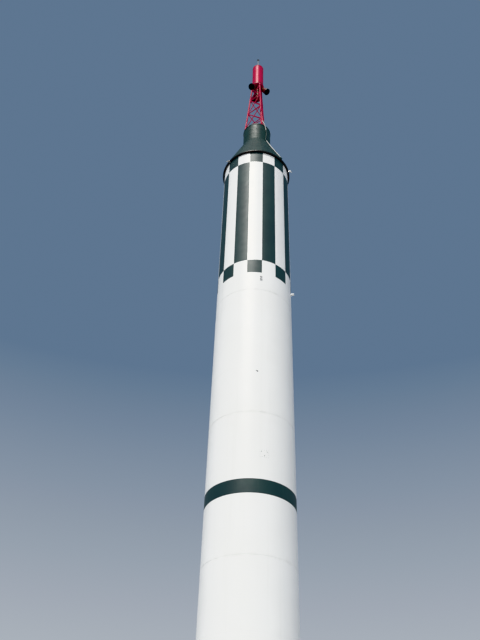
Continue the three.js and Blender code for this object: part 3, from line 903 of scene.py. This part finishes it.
def tail_doors():
    """Access doors between the fins, with hinges and latches."""
    first, last, sill, head = DOOR
    root, face = BODY_RADIUS - PLATE_ROOT, BODY_RADIUS + DOOR_PROUD
    door = swept("door", four(root, face, sill, head), (first, last), 14)
    section = four(root, BODY_RADIUS + PLATE_PROUD, sill - 0.025, head + 0.025)
    surround = swept("surround", section, (first - 2, last + 2), 16)
    parts = [bevelled(door, 0.0018, 2, 50), bevelled(surround, *PLATE_BEVEL)]
    dress(copies(joined("tail_doors", parts), turns(BETWEEN_FINS)), "white_paint")
    hinge_heights, latch_heights, hinge_radius, hinge_half = (1.13, 1.35), (1.10, 1.24, 1.38), 0.005, 0.03
    fittings = []
    for height in hinge_heights:
        ends = [(face + 0.003, 0, height + side * hinge_half) for side in SIDES]
        fittings.append(placed(rod("hinge", *ends, hinge_radius, 10), turn_to(first - 0.6)))
    latches = [on_wall(last - 1.5, face, height) for height in latch_heights]
    fittings.append(copies(screw("latch", 0.011, 0.003, 12), latches))
    dress(copies(joined("tail_door_fittings", fittings), turns(BETWEEN_FINS)), "bare_steel")


def base_ring():
    """Base ring with four pads, and bolts under it between the pads."""
    inner, outer, edge, under, top = 0.790, BODY_RADIUS - 0.0003, 0.003, 0.025, BASE_RING_TOP
    pad_size, pad_radius, bolt_radius = (0.090, 0.220, 0.045), 0.835, 0.84
    casting = hoop("hoop", [
        (inner, under + edge), (inner + edge, under), (outer - edge, under), (outer, under + edge),
        (outer, top - edge), (outer - edge, top), (inner + edge, top), (inner, top - edge),
    ])
    pad = bevelled(box("pad", pad_size, (pad_radius, 0, pad_size[2] / 2)), edge)
    casting = joined("base_ring_casting", [casting, copies(pad, turns(QUADRANTS))])
    dress(casting, "bare_steel", "base_ring")
    azimuths = [azimuth for azimuth in range(3, 360, 6) if 9 < azimuth % 90 < 81]
    places = [on_wall(azimuth, bolt_radius, under) for azimuth in azimuths]
    fasten(placed(hex_bolt("base_bolts"), LEAN), places)


def flame_shield():
    """Shield with pressed rings, stiffeners under it and two circles of bolts."""
    bottom, top = span("flame_shield")
    inner, outer, rib_start = 0.470, TAIL_WALL - 0.0003, 0.59
    outline = [(inner, top), (inner, bottom + 0.004), (inner + 0.006, bottom)]
    for middle in (0.56, 0.65, 0.74, 0.82):
        pressed = ridge(bottom, bottom + 0.007, middle, 0.018, 0.010)
        outline += [(radius, height) for height, radius in pressed]
    outline += [(outer, bottom), (outer, top)]
    dress(hoop("flame_shield_plate", outline), "heat_steel", "flame_shield")
    rib = box("shield_ribs", (outer - rib_start, 0.012, 0.030), ((outer + rib_start) / 2, 0, bottom - 0.014))
    dress(repeated_round(bevelled(rib, 0.002), 24), "heat_steel")
    bolt_radii, beside_rib = (0.848, 0.60), 0.028
    places = [moved(radius, beside_rib, bottom) for radius in bolt_radii]
    fasten(placed(hex_bolt("shield_bolts", 0.008, 0.006), LEAN), places, 36)


def vane_ring():
    """Ring that carries the jet vanes' shafts, with bolted bearing caps and collars."""
    recast("vane_ring", "vane_ring_casting", 0.002, "heat_steel")
    face, half_pitch = 0.570, 0.034
    places = in_pairs(face, half_pitch, (VANE_AXIS - half_pitch, VANE_AXIS + half_pitch))
    fasten(hex_bolt("vane_bearing_bolts", 0.008, 0.006), places, 4)
    collar = hoop("vane_bearing_collars", [
        (0.026, 0), (0.044, 0), (0.044, 0.008), (0.038, 0.012), (0.026, 0.012),
    ], FITTING_SIDES)
    fasten(collar, [moved(face - 0.001, 0, VANE_AXIS) @ LEAN], 4)


def engine_bell():
    """Open bell with hoop bands, a round feed manifold and four feed pipes."""
    bottom, top = span("engine_nozzle")
    steps, tube, tube_radius, tube_height, pipe_radius = 22, 0.020, 0.461, bottom + 0.042, 0.016

    def outer(share):
        return BELL_THROAT + BELL_WALL + (BELL_EXIT - BELL_THROAT) * (1 - share) ** 0.8

    shares = [step / steps for step in range(steps + 1)]
    outside = [(outer(share), part_way(bottom, top, share)) for share in shares]
    inside = [(radius - BELL_WALL, height) for radius, height in reversed(outside)]
    parts = [hoop("bell", [*outside, *inside], DRUM_SIDES)]
    for share in (0.16, 0.30, 0.44, 0.58, 0.72, 0.86):
        radius, height = outer(share), part_way(bottom, top, share)
        parts.append(hoop("band", ridge(radius - 0.006, radius + 0.011, height, 0.014, 0.009), DRUM_SIDES))
    round_tube = [(tube_radius + tube * cos(tau * i / 12), tube * sin(tau * i / 12)) for i in range(12)]
    parts.append(hoop("manifold", raised(round_tube, tube_height), DRUM_SIDES))
    pipe = rod("pipe", (0.456, 0, bottom + 0.05), (0.29, 0, top - 0.05), pipe_radius, 12)
    parts.append(repeated_round(pipe, 4))
    dress(joined("engine_bell", parts), "heat_steel", "engine_nozzle")


def thrust_chamber():
    """Chamber above the bell, with the injector's rings on its closed end."""
    bottom, top = span("thrust_chamber")
    radius, face = reach("thrust_chamber"), top - 0.060
    parts = [hoop("chamber", [
        (BELL_THROAT, bottom), (BELL_THROAT + BELL_WALL, bottom), (radius, 1.150), (radius, top),
        (0, top), (0, face), (radius - BELL_WALL, face), (radius - BELL_WALL, 1.165),
    ], DRUM_SIDES)]
    for inner in (0.05, 0.10, 0.15, 0.20, 0.25):
        parts.append(ring("injector", inner, inner + 0.012, face - 0.006, face + 0.002, CUP_SIDES))
    dress(joined("chamber_with_injector", parts), "heat_steel", "thrust_chamber")
    recast("engine_block", "engine_block_drum", 0.006, "bare_steel")


def fin_share(radius):
    return (radius - BODY_RADIUS) / (FIN_TIP - BODY_RADIUS)


def fin_top(radius):
    return part_way(FIN_ROOT_TOP, FIN_TIP_TOP, fin_share(radius))


def below_axis(thick, height):
    """Half a fin's or rudder's thickness below the rudder's axis, where it thins to the rear edge."""
    return part_way(FIN_EDGE, thick, (height - FIN_BOTTOM) / (RUDDER_AXIS - FIN_BOTTOM))


def fin_half(radius, height):
    """Half the fin's thickness at a place on its side."""
    thick = part_way(*FIN_THICK, fin_share(radius))
    top = fin_top(radius)
    shoulder = part_way(top, FIN_BOTTOM, 0.32)
    if height < RUDDER_AXIS:
        return below_axis(thick, height)
    if height > shoulder:
        return part_way(FIN_EDGE, thick, (top - height) / (top - shoulder))
    return thick


def fins():
    """Fins with rounded edges and a collar round each root."""
    for index, azimuth in enumerate(QUADRANTS, 1):
        node = f"fin_{index}"
        recast(node, f"fin_skin_{index}", 0.002, "white_paint")
        collar = from_node(node, f"fin_root_collar_{index}")
        out = point_at(azimuth, 1, 0)
        edit(collar)
        bpy.ops.mesh.bisect(plane_co=out * (BODY_RADIUS + FIN_COLLAR), plane_no=out, clear_outer=True)
        done()
        pick(collar, "FACE", lambda face: abs(face.normal.dot(out)) > 0.99)
        bpy.ops.mesh.delete(type="FACE")
        done()
        dress(with_modifier(collar, "SOLIDIFY", thickness=0.004, offset=1.0), "white_paint")


def fin_rivets():
    """Rows of rivets over the fins' ribs, the first through the collar."""
    ribs, collar_proud = (0.915, 1.15, 1.36, 1.62, 1.93), 0.0035
    places = []
    for radius in ribs:
        bottom = FIN_BOTTOM + 0.06 if radius < RUDDER_INNER else RUDDER_TOP + 0.03
        proud = collar_proud if radius < BODY_RADIUS + FIN_COLLAR else 0.0
        for step in range(int((fin_top(radius) - 0.05 - bottom) / RIVET_PITCH)):
            height = bottom + RIVET_PITCH * step
            places += [on_side(radius, side, fin_half(radius, height) + proud, height) for side in SIDES]
    fasten(rivet("fin_rivets"), places, 4, "white_paint")


def rudders():
    """Rudders with rounded edges and rows of rivets; each rides on its body."""
    for index, azimuth in enumerate(QUADRANTS, 1):
        node = f"rudder_{index}"
        recast(node, f"rudder_skin_{index}", 0.002, "white_paint", node)
        places = []
        for radius in (1.425, 1.69, 1.955):
            for height in [FIN_BOTTOM + RUDDER_RIVET_PITCH * step for step in range(1, 8)]:
                half = below_axis(RUDDER_THICK, height)
                places += [turn_to(azimuth) @ on_side(radius, side, half, height) for side in SIDES]
        fasten(rivet(f"rudder_rivets_{index}"), places, 1, "white_paint", node)


def jet_vanes():
    """Graphite vanes with rounded edges, each clamped to its shaft by four bolts."""
    for index, azimuth in enumerate(QUADRANTS, 1):
        node = f"jet_vane_{index}"
        recast(node, f"jet_vane_blade_{index}", 0.0015, "graphite", node)
        clamp = box("clamp", (0.030, 0.040, 0.070), (VANE_CLAMP, 0, VANE_AXIS))
        bolts = copies(hex_bolt("bolt", 0.006, 0.005), [
            on_side(VANE_CLAMP, side, 0.020, VANE_AXIS + rise) for side in SIDES for rise in (-0.022, 0.022)
        ])
        clamp = joined(f"vane_clamp_{index}", [bevelled(clamp, 0.004), bolts])
        dress(placed(clamp, turn_to(azimuth)), "bare_steel", body=node)


# Capsule

CONE_FOOT = CAPSULE_BASE + 0.034  # top of the rim
CONE_LEAN = tilt(-degrees(atan2(CAPSULE_RADIUS - NECK_RADIUS, CONE_TOP - CONE_FOOT)))
SHINGLE_ROWS = 8
BEAD_SIDES = 360
BEADS_BETWEEN_SCREWS = 20  # columns of the cone from one row of screws to the next
VALLEY_SIZE = 0.9962  # radius of the valleys between beads, as a share of the cone's
HATCH_EDGES = (157.5, 202.5)
WINDOW_EDGES = (228.0, 244.5)
GUY_LUGS = [-52, 73, 191]


def cone_radius(height):
    return part_way(CAPSULE_RADIUS, NECK_RADIUS, (height - CONE_FOOT) / (CONE_TOP - CONE_FOOT))


def on_cone(azimuth, height, proud=0.0):
    """A place on the cone, with +X pointing straight out of it."""
    return on_wall(azimuth, cone_radius(height) + proud, height) @ CONE_LEAN


def capsule_clamp():
    """Clamp band under the capsule, and the two bolts that close it."""
    bottom, top = span("capsule_clamp_ring")
    outer, level, half_bolt = reach("capsule_clamp_ring"), bottom - 0.012, 0.036
    dress(turned("clamp_band", [
        (0, bottom), (outer - 0.002, bottom), (outer, bottom + 0.002), (outer, top), (0, top),
    ]), "black_nozzle", "capsule_clamp_ring")
    block = box("block", (0.022, 0.014, 0.030), (outer - 0.006, 0, bottom - 0.010))
    blocks = copies(bevelled(block, 0.003), turns([88.8, 91.2]))
    ends = [(outer - 0.002, side * half_bolt, level) for side in SIDES]
    parts = joined("clamp_bolts", [blocks, rod("bolt", *ends, 0.005, 10)])
    dress(copies(parts, turns([105, 285])), "black_nozzle")


def capsule_rim():
    edge = CAPSULE_RADIUS
    dress(turned("capsule_rim", [
        (0, CAPSULE_BASE), (edge - 0.012, CAPSULE_BASE), (edge - 0.003, CAPSULE_BASE + 0.005),
        (edge, CAPSULE_BASE + 0.013), (edge, CONE_FOOT - 0.004), (edge - 0.004, CONE_FOOT), (0, CONE_FOOT),
    ]), "black_nozzle")


def capsule_cone():
    """Cone of shingles in rows, let in at the joints and fluted between them."""
    tall = (CONE_TOP - CONE_FOOT) / SHINGLE_ROWS
    joint_depth, plain_strip = 0.004, 0.022
    outline = [(0, CONE_FOOT), (CAPSULE_RADIUS - 0.005, CONE_FOOT)]
    fluted, places = [], []
    for row in range(SHINGLE_ROWS):
        low = CONE_FOOT + row * tall
        flutes = (low + plain_strip, low + tall - plain_strip)
        outline.append((cone_radius(low + 0.001) - joint_depth, low + 0.001))
        outline += [(cone_radius(height), height) for height in (low + 0.006, *flutes, low + tall - 0.005)]
        fluted += flutes
        places += [on_cone(90, low + share * tall) for share in (0.12, 0.37, 0.63, 0.88)]
    outline += [(NECK_RADIUS - joint_depth, CONE_TOP), (0, CONE_TOP)]
    cone = turned("capsule_shingles", outline, BEAD_SIDES)

    def in_valley(vert):
        column = round(atan2(vert.co.y, vert.co.x) * BEAD_SIDES / tau)
        clear_of_screws = 1 < column % BEADS_BETWEEN_SCREWS < BEADS_BETWEEN_SCREWS - 1
        level = any(abs(vert.co.z - height) < 0.001 for height in fluted)
        return level and column % 2 and clear_of_screws

    pick(cone, "VERT", in_valley)
    bpy.ops.transform.resize(value=(VALLEY_SIZE, VALLEY_SIZE, 1), center_override=(0, 0, 0))
    done()
    dress(cone, "capsule_metal", "capsule_cone", smooth=40)
    head = screw("shingle_screws", 0.005, 0.0016, 6)
    fasten(head, places, BEAD_SIDES // BEADS_BETWEEN_SCREWS, "capsule_metal")


def cone_plate(name, azimuths, heights, proud, sink=0.006):
    """A plate that lies on the cone between azimuths and between heights."""
    low, high = heights
    return swept(name, [
        (cone_radius(low) - sink, low), (cone_radius(low) + proud, low),
        (cone_radius(high) + proud, high), (cone_radius(high) - sink, high),
    ], azimuths, max(6, round((azimuths[1] - azimuths[0]) / 2)))


def side_hatch():
    """Hatch plate with bolts along its edges."""
    low, high = CAPSULE_BASE + 0.240, CAPSULE_BASE + 1.040
    proud, margin = 0.009, (1.5, 0.03)
    hatch = bevelled(cone_plate("hatch_plate", HATCH_EDGES, (low, high), proud), 0.004, 2, 40)
    dress(hatch, "capsule_metal", "side_hatch")
    half_turn = (HATCH_EDGES[1] - HATCH_EDGES[0]) / 2 - margin[0]
    fasten(hex_bolt("hatch_bolts", 0.008, 0.006), [
        on_cone(sum(HATCH_EDGES) / 2 + turn, (low + high) / 2 + rise, proud)
        for turn, rise in along_edges(half_turn, (high - low) / 2 - margin[1], 17, 19)
    ])


def capsule_window():
    """Window pane in a frame of four bars."""
    low, high = CAPSULE_BASE + 0.760, CAPSULE_BASE + 1.080
    left, right = WINDOW_EDGES
    bar_turn, outside, inside = 2.2, 0.008, 0.020
    bars = []
    for azimuths, heights in (
        ((left, left + bar_turn), (low, high)),
        ((right - bar_turn, right), (low, high)),
        (WINDOW_EDGES, (low - outside, low + inside)),
        (WINDOW_EDGES, (high - inside, high + outside)),
    ):
        bars.append(bevelled(cone_plate("bar", azimuths, heights, 0.010), 0.003, 2, 40))
    dress(joined("window_frame", bars), "bare_steel")
    pane = cone_plate("window_pane", (left + 1.5, right - 1.5), (low + 0.01, high - 0.01), 0.005)
    dress(pane, "window_glass", "capsule_window")


def recovery_section():
    """Neck clad with three rows of twelve shingles, each on corner screws."""
    core, face, around, rows = NECK_RADIUS - 0.005, NECK_RADIUS - 0.0005, 12, 3
    outline = [(0, CONE_TOP), (core, CONE_TOP), (core, NECK_TOP), (0, NECK_TOP)]
    dress(turned("neck_core", outline, DRUM_SIDES), "capsule_metal", "recovery_section")
    plate_edges, screw_azimuths, screw_margin, gap = (90.35, 119.65), (93, 117), 0.025, 0.002
    tall = (NECK_TOP - CONE_TOP) / rows
    plates, places = [], []
    for row in range(rows):
        bottom, top = CONE_TOP + row * tall + gap, CONE_TOP + (row + 1) * tall - gap
        plate = swept("plate", four(NECK_RADIUS - 0.006, face, bottom, top), plate_edges, 10)
        plates.append(bevelled(plate, 0.0012, 2, 50))
        heights = (bottom + screw_margin, top - screw_margin)
        places += [on_wall(azimuth, face, height) for azimuth in screw_azimuths for height in heights]
    dress(repeated_round(joined("neck_shingles", plates), around), "capsule_metal")
    fasten(screw("neck_screws", 0.006, 0.0012), places, around, "capsule_metal")


def antenna_canister():
    """Tapered canister with a straight foot, pressed ribs and a rounded lid."""
    foot, tip = NECK_TOP + 0.0003, 0.150
    start = foot + 0.015
    proud, half_foot, half_crown = 0.002, 0.010, 0.004
    slope = (CANISTER_RADIUS - tip) / (CANISTER_TOP - start)
    outline = [(0, foot), (CANISTER_RADIUS, foot), (CANISTER_RADIUS, start)]
    for share in (0.2, 0.4, 0.6, 0.8):
        radius, height = part_way(CANISTER_RADIUS, tip, share), part_way(start, CANISTER_TOP, share)
        outline += [
            (radius + half_foot * slope, height - half_foot), (radius + proud, height - half_crown),
            (radius + proud, height + half_crown), (radius - half_foot * slope, height + half_foot),
        ]
    outline += [(tip, CANISTER_TOP - 0.003), (tip - 0.004, CANISTER_TOP), (0, CANISTER_TOP)]
    dress(turned("canister_shell", outline, DRUM_SIDES), "capsule_metal", "antenna_canister")


def lugs_and_shackles():
    """Lugs with rounded edges; each keeps its shackle, a bow closed by a pin."""
    pin_place, width = 0.972, 0.020
    for index, azimuth in enumerate(GUY_LUGS, 1):
        node = f"guy_lug_{index}"
        recast(node, f"lug_plate_{index}", 0.0015, "bare_steel")
        knots = [(0, -width), (0.035, -width), (0.062, 0), (0.035, width), (0, width)]
        bow = tube_along("bow", [(out, across, -out) for out, across in knots], 0.0052, 12)
        pin = rod("pin", (0, -width - 0.012, 0), (0, width + 0.012, 0), 0.006, 12)
        nut = bevelled(rod("nut", (0, width + 0.004, 0), (0, width + 0.014, 0), 0.011, 6), 0.0015, 1)
        place = on_wall(azimuth, pin_place, sum(span(node)) / 2)
        dress(placed(joined(f"lug_shackle_{index}", [bow, pin, nut]), place), "light_cable")


# Light cable: azimuth, radius and height above the capsule's base, as laid out on the frame

CABLE_RADIUS = 0.011
COVER_RADIUS = 0.016
CABLE_ROUTE = [
    (20, 0.374, 2.860), (21, 0.390, 2.640), (22, 0.406, 2.440), (25, 0.420, 2.240),
    (30, 0.425, 2.130), (35, 0.422, 2.040), (40, 0.416, 1.900), (42, 0.415, 1.700),
    (40, 0.416, 1.500), (38, 0.424, 1.390), (37, 0.470, 1.280), (37, 0.568, 1.034),
    (38, 0.689, 0.730), (41, 0.788, 0.482), (44, 0.886, 0.236), (46, 0.948, 0.080),
]
CABLE_POINTS = [point_at(azimuth, radius, CAPSULE_BASE + height) for azimuth, radius, height in CABLE_ROUTE]


def cable_clip(index, radius):
    """A short ring round the cable, or round its conduit, at one of the route's points."""
    clip = ring("clip", radius - 0.001, radius + 0.003, -0.012, 0.012, FINE_TUBE_SIDES)
    return placed(clip, aligned(CABLE_POINTS[index], CABLE_POINTS[index + 1] - CABLE_POINTS[index - 1]))


def leg_conduit():
    """Conduit up the front leg, held by a saddle, to a junction box."""
    below_leg = point_at(24, 0.416, CAPSULE_BASE + 2.300)
    parts = [tube_along("conduit", [*CABLE_POINTS[:3], below_leg], COVER_RADIUS), cable_clip(1, COVER_RADIUS)]
    azimuth, radius, height = CABLE_ROUTE[1]
    saddle = box("saddle", (0.026, 0.020, 0.024), (radius - 0.020, 0, CAPSULE_BASE + height))
    parts.append(placed(saddle, turn_to(azimuth)))
    azimuth, radius, height = CABLE_ROUTE[0]
    middle, face = CAPSULE_BASE + height + 0.030, radius + 0.024
    case = bevelled(box("case", (0.054, 0.058, 0.100), (radius - 0.007, 0, middle)), 0.006)
    lid = bevelled(box("lid", (0.005, 0.050, 0.092), (face - 0.0025, 0, middle)), 0.0015)
    places = in_pairs(face, 0.018, (middle - 0.038, middle + 0.038))
    screws = copies(screw("screw", 0.004, 0.0015), places)
    parts += [placed(part, turn_to(azimuth)) for part in (case, lid, screws)]
    dress(joined("leg_conduit", parts), "red_paint")


def cable_socket():
    """Socket low on the cone, which the cable enters through a nut."""
    azimuth, level = CABLE_ROUTE[-1][0], CABLE_POINTS[-1].z
    socket = cone_plate("socket", (azimuth - 1.7, azimuth + 1.7), (level - 0.035, level + 0.020), 0.034)
    end = CABLE_POINTS[-1]
    along = (CABLE_POINTS[-2] - end).normalized()
    nut = rod("nut", end + along * 0.010, end + along * 0.042, 0.018, 6)
    parts = [bevelled(socket, 0.006, 3, 40), bevelled(nut, 0.002)]
    dress(joined("cable_socket", parts), "capsule_metal")


def light_cable():
    """Pale cable held by clips, with a cover where it crosses the neck."""
    dress(tube_along("cable_sheath", CABLE_POINTS, CABLE_RADIUS), "light_cable", "light_cable")
    dress(tube_along("neck_cable_cover", CABLE_POINTS[6:11], COVER_RADIUS), "capsule_metal")
    clips = [cable_clip(index, CABLE_RADIUS) for index in (3, 5, 11, 13)]
    dress(joined("cable_clips", clips), "bare_steel")


# Escape tower

TOWER_BASE = CAPSULE_BASE + 2.110
TOWER_TOP = CAPSULE_BASE + 4.700
TOWER_RING_TOP = CAPSULE_BASE + 4.735
LEG_RADII = (0.388, 0.180)  # from the axis, at the foot and at the top
LEG_AZIMUTHS = [-100, 20, 140]
BETWEEN_LEGS = [azimuth + 60 for azimuth in LEG_AZIMUTHS]
LEG_TUBE = 0.024
BRACE_TUBE = 0.012
BRACE_LEVELS = [CAPSULE_BASE + height for height in (2.500, 3.280, 4.020, 4.650)]
MOTOR_RADIUS = reach("escape_motor")
NOZZLE_CANT = 36.87  # degrees from straight down
NOZZLE_SEAT = moved(0.105, 0, CAPSULE_BASE + 4.6738) @ tilt(180 - NOZZLE_CANT) @ moved(z=0.0103)


def leg_point(azimuth, height):
    share = (height - TOWER_BASE) / (TOWER_TOP - TOWER_BASE)
    return point_at(azimuth, part_way(*LEG_RADII, share), height)


def gusset(corner, along, up):
    """A thin plate at a corner of the lattice, in the plane of two directions."""
    length, tall = 0.085, 0.10
    across = along.cross(up).normalized()
    level = up.cross(across).normalized()
    plate = box("gusset", (length, tall, 0.004), (length / 2, 0, 0))
    pick(plate, "VERT", lambda vert: vert.co.x > length / 2)
    bpy.ops.transform.resize(value=(1, 0.35, 1), center_override=(0, 0, 0))
    done()
    turn = Matrix((level, up.normalized(), across)).transposed().to_4x4()
    return placed(plate, moved(*corner) @ turn)


def tower_lattice():
    """Three legs on bolted feet, three bays of crossed braces on each side, and the top ring."""
    parts = []
    for azimuth, following in zip(LEG_AZIMUTHS, LEG_AZIMUTHS[1:] + LEG_AZIMUTHS[:1]):
        foot, head = leg_point(azimuth, TOWER_BASE + 0.016), leg_point(azimuth, TOWER_TOP + 0.010)
        parts.append(rod("leg", foot, head, LEG_TUBE))
        rise = (head - foot).normalized()
        for level in BRACE_LEVELS:
            node = leg_point(azimuth, level)
            parts.append(rod("sleeve", node - rise * 0.035, node + rise * 0.035, LEG_TUBE + 0.004))
            for neighbour in LEG_AZIMUTHS:
                if neighbour != azimuth:
                    parts.append(gusset(node, leg_point(neighbour, level) - node, rise))
        for level, above in pairwise(BRACE_LEVELS):
            for start, end in ((level, level), (level, above), (above, level)):
                ends = leg_point(azimuth, start), leg_point(following, end)
                parts.append(rod("brace", *ends, BRACE_TUBE, FINE_TUBE_SIDES))
    pad = box("pad", (0.044, 0.090, 0.060), (NECK_RADIUS - 0.014, 0, TOWER_BASE + 0.0303))
    parts.append(copies(bevelled(pad, 0.004), turns(LEG_AZIMUTHS)))
    parts.append(bevelled(ring("top_ring", 0.156, 0.202, TOWER_TOP, TOWER_RING_TOP, CUP_SIDES), 0.003))
    dress(joined("tower_tubes", parts), "red_paint", "tower_lattice")
    places = in_pairs(NECK_RADIUS + 0.008, 0.033, (TOWER_BASE + 0.015, TOWER_BASE + 0.045))
    bolts = [turn @ place for turn in turns(LEG_AZIMUTHS) for place in places]
    fasten(hex_bolt("tower_foot_bolts", 0.007, 0.006), bolts)


def tower_clamp():
    """Clamp ring that seats the tower on the neck, with bolts between its segments."""
    bottom, top = span("tower_clamp_ring")
    outer = NECK_RADIUS + 0.008
    seat = ring("tower_clamp_band", CANISTER_RADIUS + 0.003, outer, bottom, top, DRUM_SIDES)
    dress(bevelled(seat, 0.003), "capsule_metal", "tower_clamp_ring")
    block = box("tower_clamp_bolts", (0.012, 0.050, 0.026), (outer - 0.002, 0, (bottom + top) / 2))
    fasten(bevelled(block, 0.003), turns(BETWEEN_LEGS))


def escape_motor():
    """Motor case with a rounded top, bands, a raised seam and rows of screws."""
    bottom, top = span("escape_motor")
    wall, foot, round_tall, round_wide = MOTOR_RADIUS - 0.0022, bottom + 0.028, 0.045, 0.060
    outline = [(0, bottom), (MOTOR_RADIUS, bottom), (MOTOR_RADIUS, foot), (wall, foot + 0.004)]
    for share in (0.36, 0.70):
        outline += ridge(wall, MOTOR_RADIUS, part_way(bottom, top, share), 0.016, 0.013)
    outline += [(wall, top - 0.062), (MOTOR_RADIUS, top - 0.058)]
    for angle in [radians(15 * step) for step in range(7)]:
        outline.append((MOTOR_RADIUS + round_wide * (cos(angle) - 1), top + round_tall * (sin(angle) - 1)))
    case = turned("motor_case", [*outline, (0, top)], DRUM_SIDES)
    seam = box("seam", (0.004, 0.008, top - bottom - 0.14), (MOTOR_RADIUS - 0.003, 0, (bottom + top) / 2))
    placed(bevelled(seam, 0.001, 1), turn_to(118))
    dress(joined("motor_case", [case, seam]), "red_paint", "escape_motor")
    places = stacked(MOTOR_RADIUS, (bottom + 0.014, top - 0.051))
    fasten(screw("motor_screws", 0.005, 0.0012), places, 24, "red_paint")


def motor_skirt():
    """Skirt under the motor that carries the nozzles, with a ring of bolts."""
    recast("motor_skirt", "skirt_casting", 0.002, "dark_red_paint")
    fasten(hex_bolt("skirt_bolts", 0.007, 0.006), [moved(0.186, 0, TOWER_RING_TOP + 0.022)], 18)


def motor_nozzles():
    """Three canted nozzles: a bolted flange, a flared cup with a rolled lip, dark inside."""
    jacket = [
        (0, 0), (0.050, 0), (0.050, 0.012), (0.042, 0.014), (0.042, 0.038), (0.047, 0.060), (0.056, 0.088),
        (0.066, 0.118), (0.076, 0.155), (0.085, 0.198), (0.093, 0.242), (0.099, 0.285), (0.102, 0.306),
    ]
    lip = [(0.104, 0.306), (0.104, 0.318), (0.107, 0.322), (0.107, 0.330), (0.103, 0.332), (0.097, 0.330)]
    liner = [
        (0.097, 0.306), (0.092, 0.285), (0.086, 0.242), (0.078, 0.198), (0.069, 0.155),
        (0.058, 0.118), (0.046, 0.092), (0.032, 0.078), (0.030, 0.050), (0, 0.050),
    ]
    between = [(radius + 0.003, height) for radius, height in liner[:-1]] + [(0, 0.047)]
    aims = [turn @ NOZZLE_SEAT for turn in turns(BETWEEN_LEGS)]
    for index, aim in enumerate(aims, 1):
        cup = turned(f"nozzle_cup_{index}", [*reversed(between), *lip, *liner], CUP_SIDES)
        dress(placed(cup, aim), "black_nozzle", f"motor_nozzle_{index}")
        outside = turned(f"nozzle_jacket_{index}", [*jacket, *between], CUP_SIDES)
        dress(placed(outside, aim), "dark_red_paint")
    flange = [tilt(45 * step, "Z") @ moved(0.046, 0, 0.012) @ UPRIGHT for step in range(8)]
    fasten(hex_bolt("nozzle_bolts", 0.004, 0.004), [aim @ place for aim in aims for place in flange])


def jettison_motor():
    """Small motor that hangs in the lattice, with bands and a flared nozzle."""
    bottom, top = span("jettison_motor")
    nozzle = [(0, 0.055), (0.026, 0.004), (0.034, 0), (0.042, 0), (0.042, 0.004), (0.027, 0.064)]
    case = [
        (0.030, 0.078), (0.074, 0.094), (0.080, 0.100), (0.080, 0.130), (0.078, 0.133), (0.078, 0.380),
        (0.080, 0.383), (0.080, 0.410), (0.078, 0.413), (0.078, 0.630), (0.074, 0.655),
    ]
    outline = [*raised(nozzle + case, bottom), (0.058, top), (0, top)]
    dress(turned("jettison_case", outline, 48), "dark_red_paint", "jettison_motor")


def nose_mast():
    """Slim mast on a bolted foot, with a joint sleeve and a round cap."""
    bottom, top = span("nose_mast")
    mast = raised([
        (0, 0), (0.060, 0), (0.060, 0.008), (0.056, 0.011), (0.024, 0.014), (0.017, 0.024), (0.015, 0.040),
        (0.0145, 0.260), (0.019, 0.264), (0.019, 0.300), (0.0135, 0.304),
    ], bottom) + [(0.013, top), (0, top)]
    dress(turned("mast_tube", mast, FITTING_SIDES), "light_cable", "nose_mast")
    cap = raised([(0, 0), (0.013, 0), (0.028, 0.006), (0.034, 0.016), (0.034, 0.030)], CAP_FOOT)
    cap += [(0.029, MAST_TOP - 0.010), (0.018, MAST_TOP), (0, MAST_TOP)]
    dress(turned("mast_cap_dome", cap, FITTING_SIDES), "black_nozzle", "mast_cap")
    bolt = placed(hex_bolt("mast_foot_bolts", 0.005, 0.004), UPRIGHT)
    fasten(bolt, [moved(0.045, 0, bottom + 0.011)], 6)


for build in (
    make_camera, make_sun, make_backdrop, make_floor,
    body_sections, body_welds, paint_fields, access_panels, small_ports, vent_cover, side_bracket,
    tail_skin, tail_doors, base_ring, flame_shield, vane_ring, engine_bell, thrust_chamber,
    fins, fin_rivets, rudders, jet_vanes,
    capsule_clamp, capsule_rim, capsule_cone, side_hatch, capsule_window, recovery_section,
    antenna_canister, lugs_and_shackles, light_cable, leg_conduit, cable_socket,
    tower_lattice, tower_clamp, escape_motor, motor_skirt, motor_nozzles, jettison_motor,
    nose_mast,
):
    build()
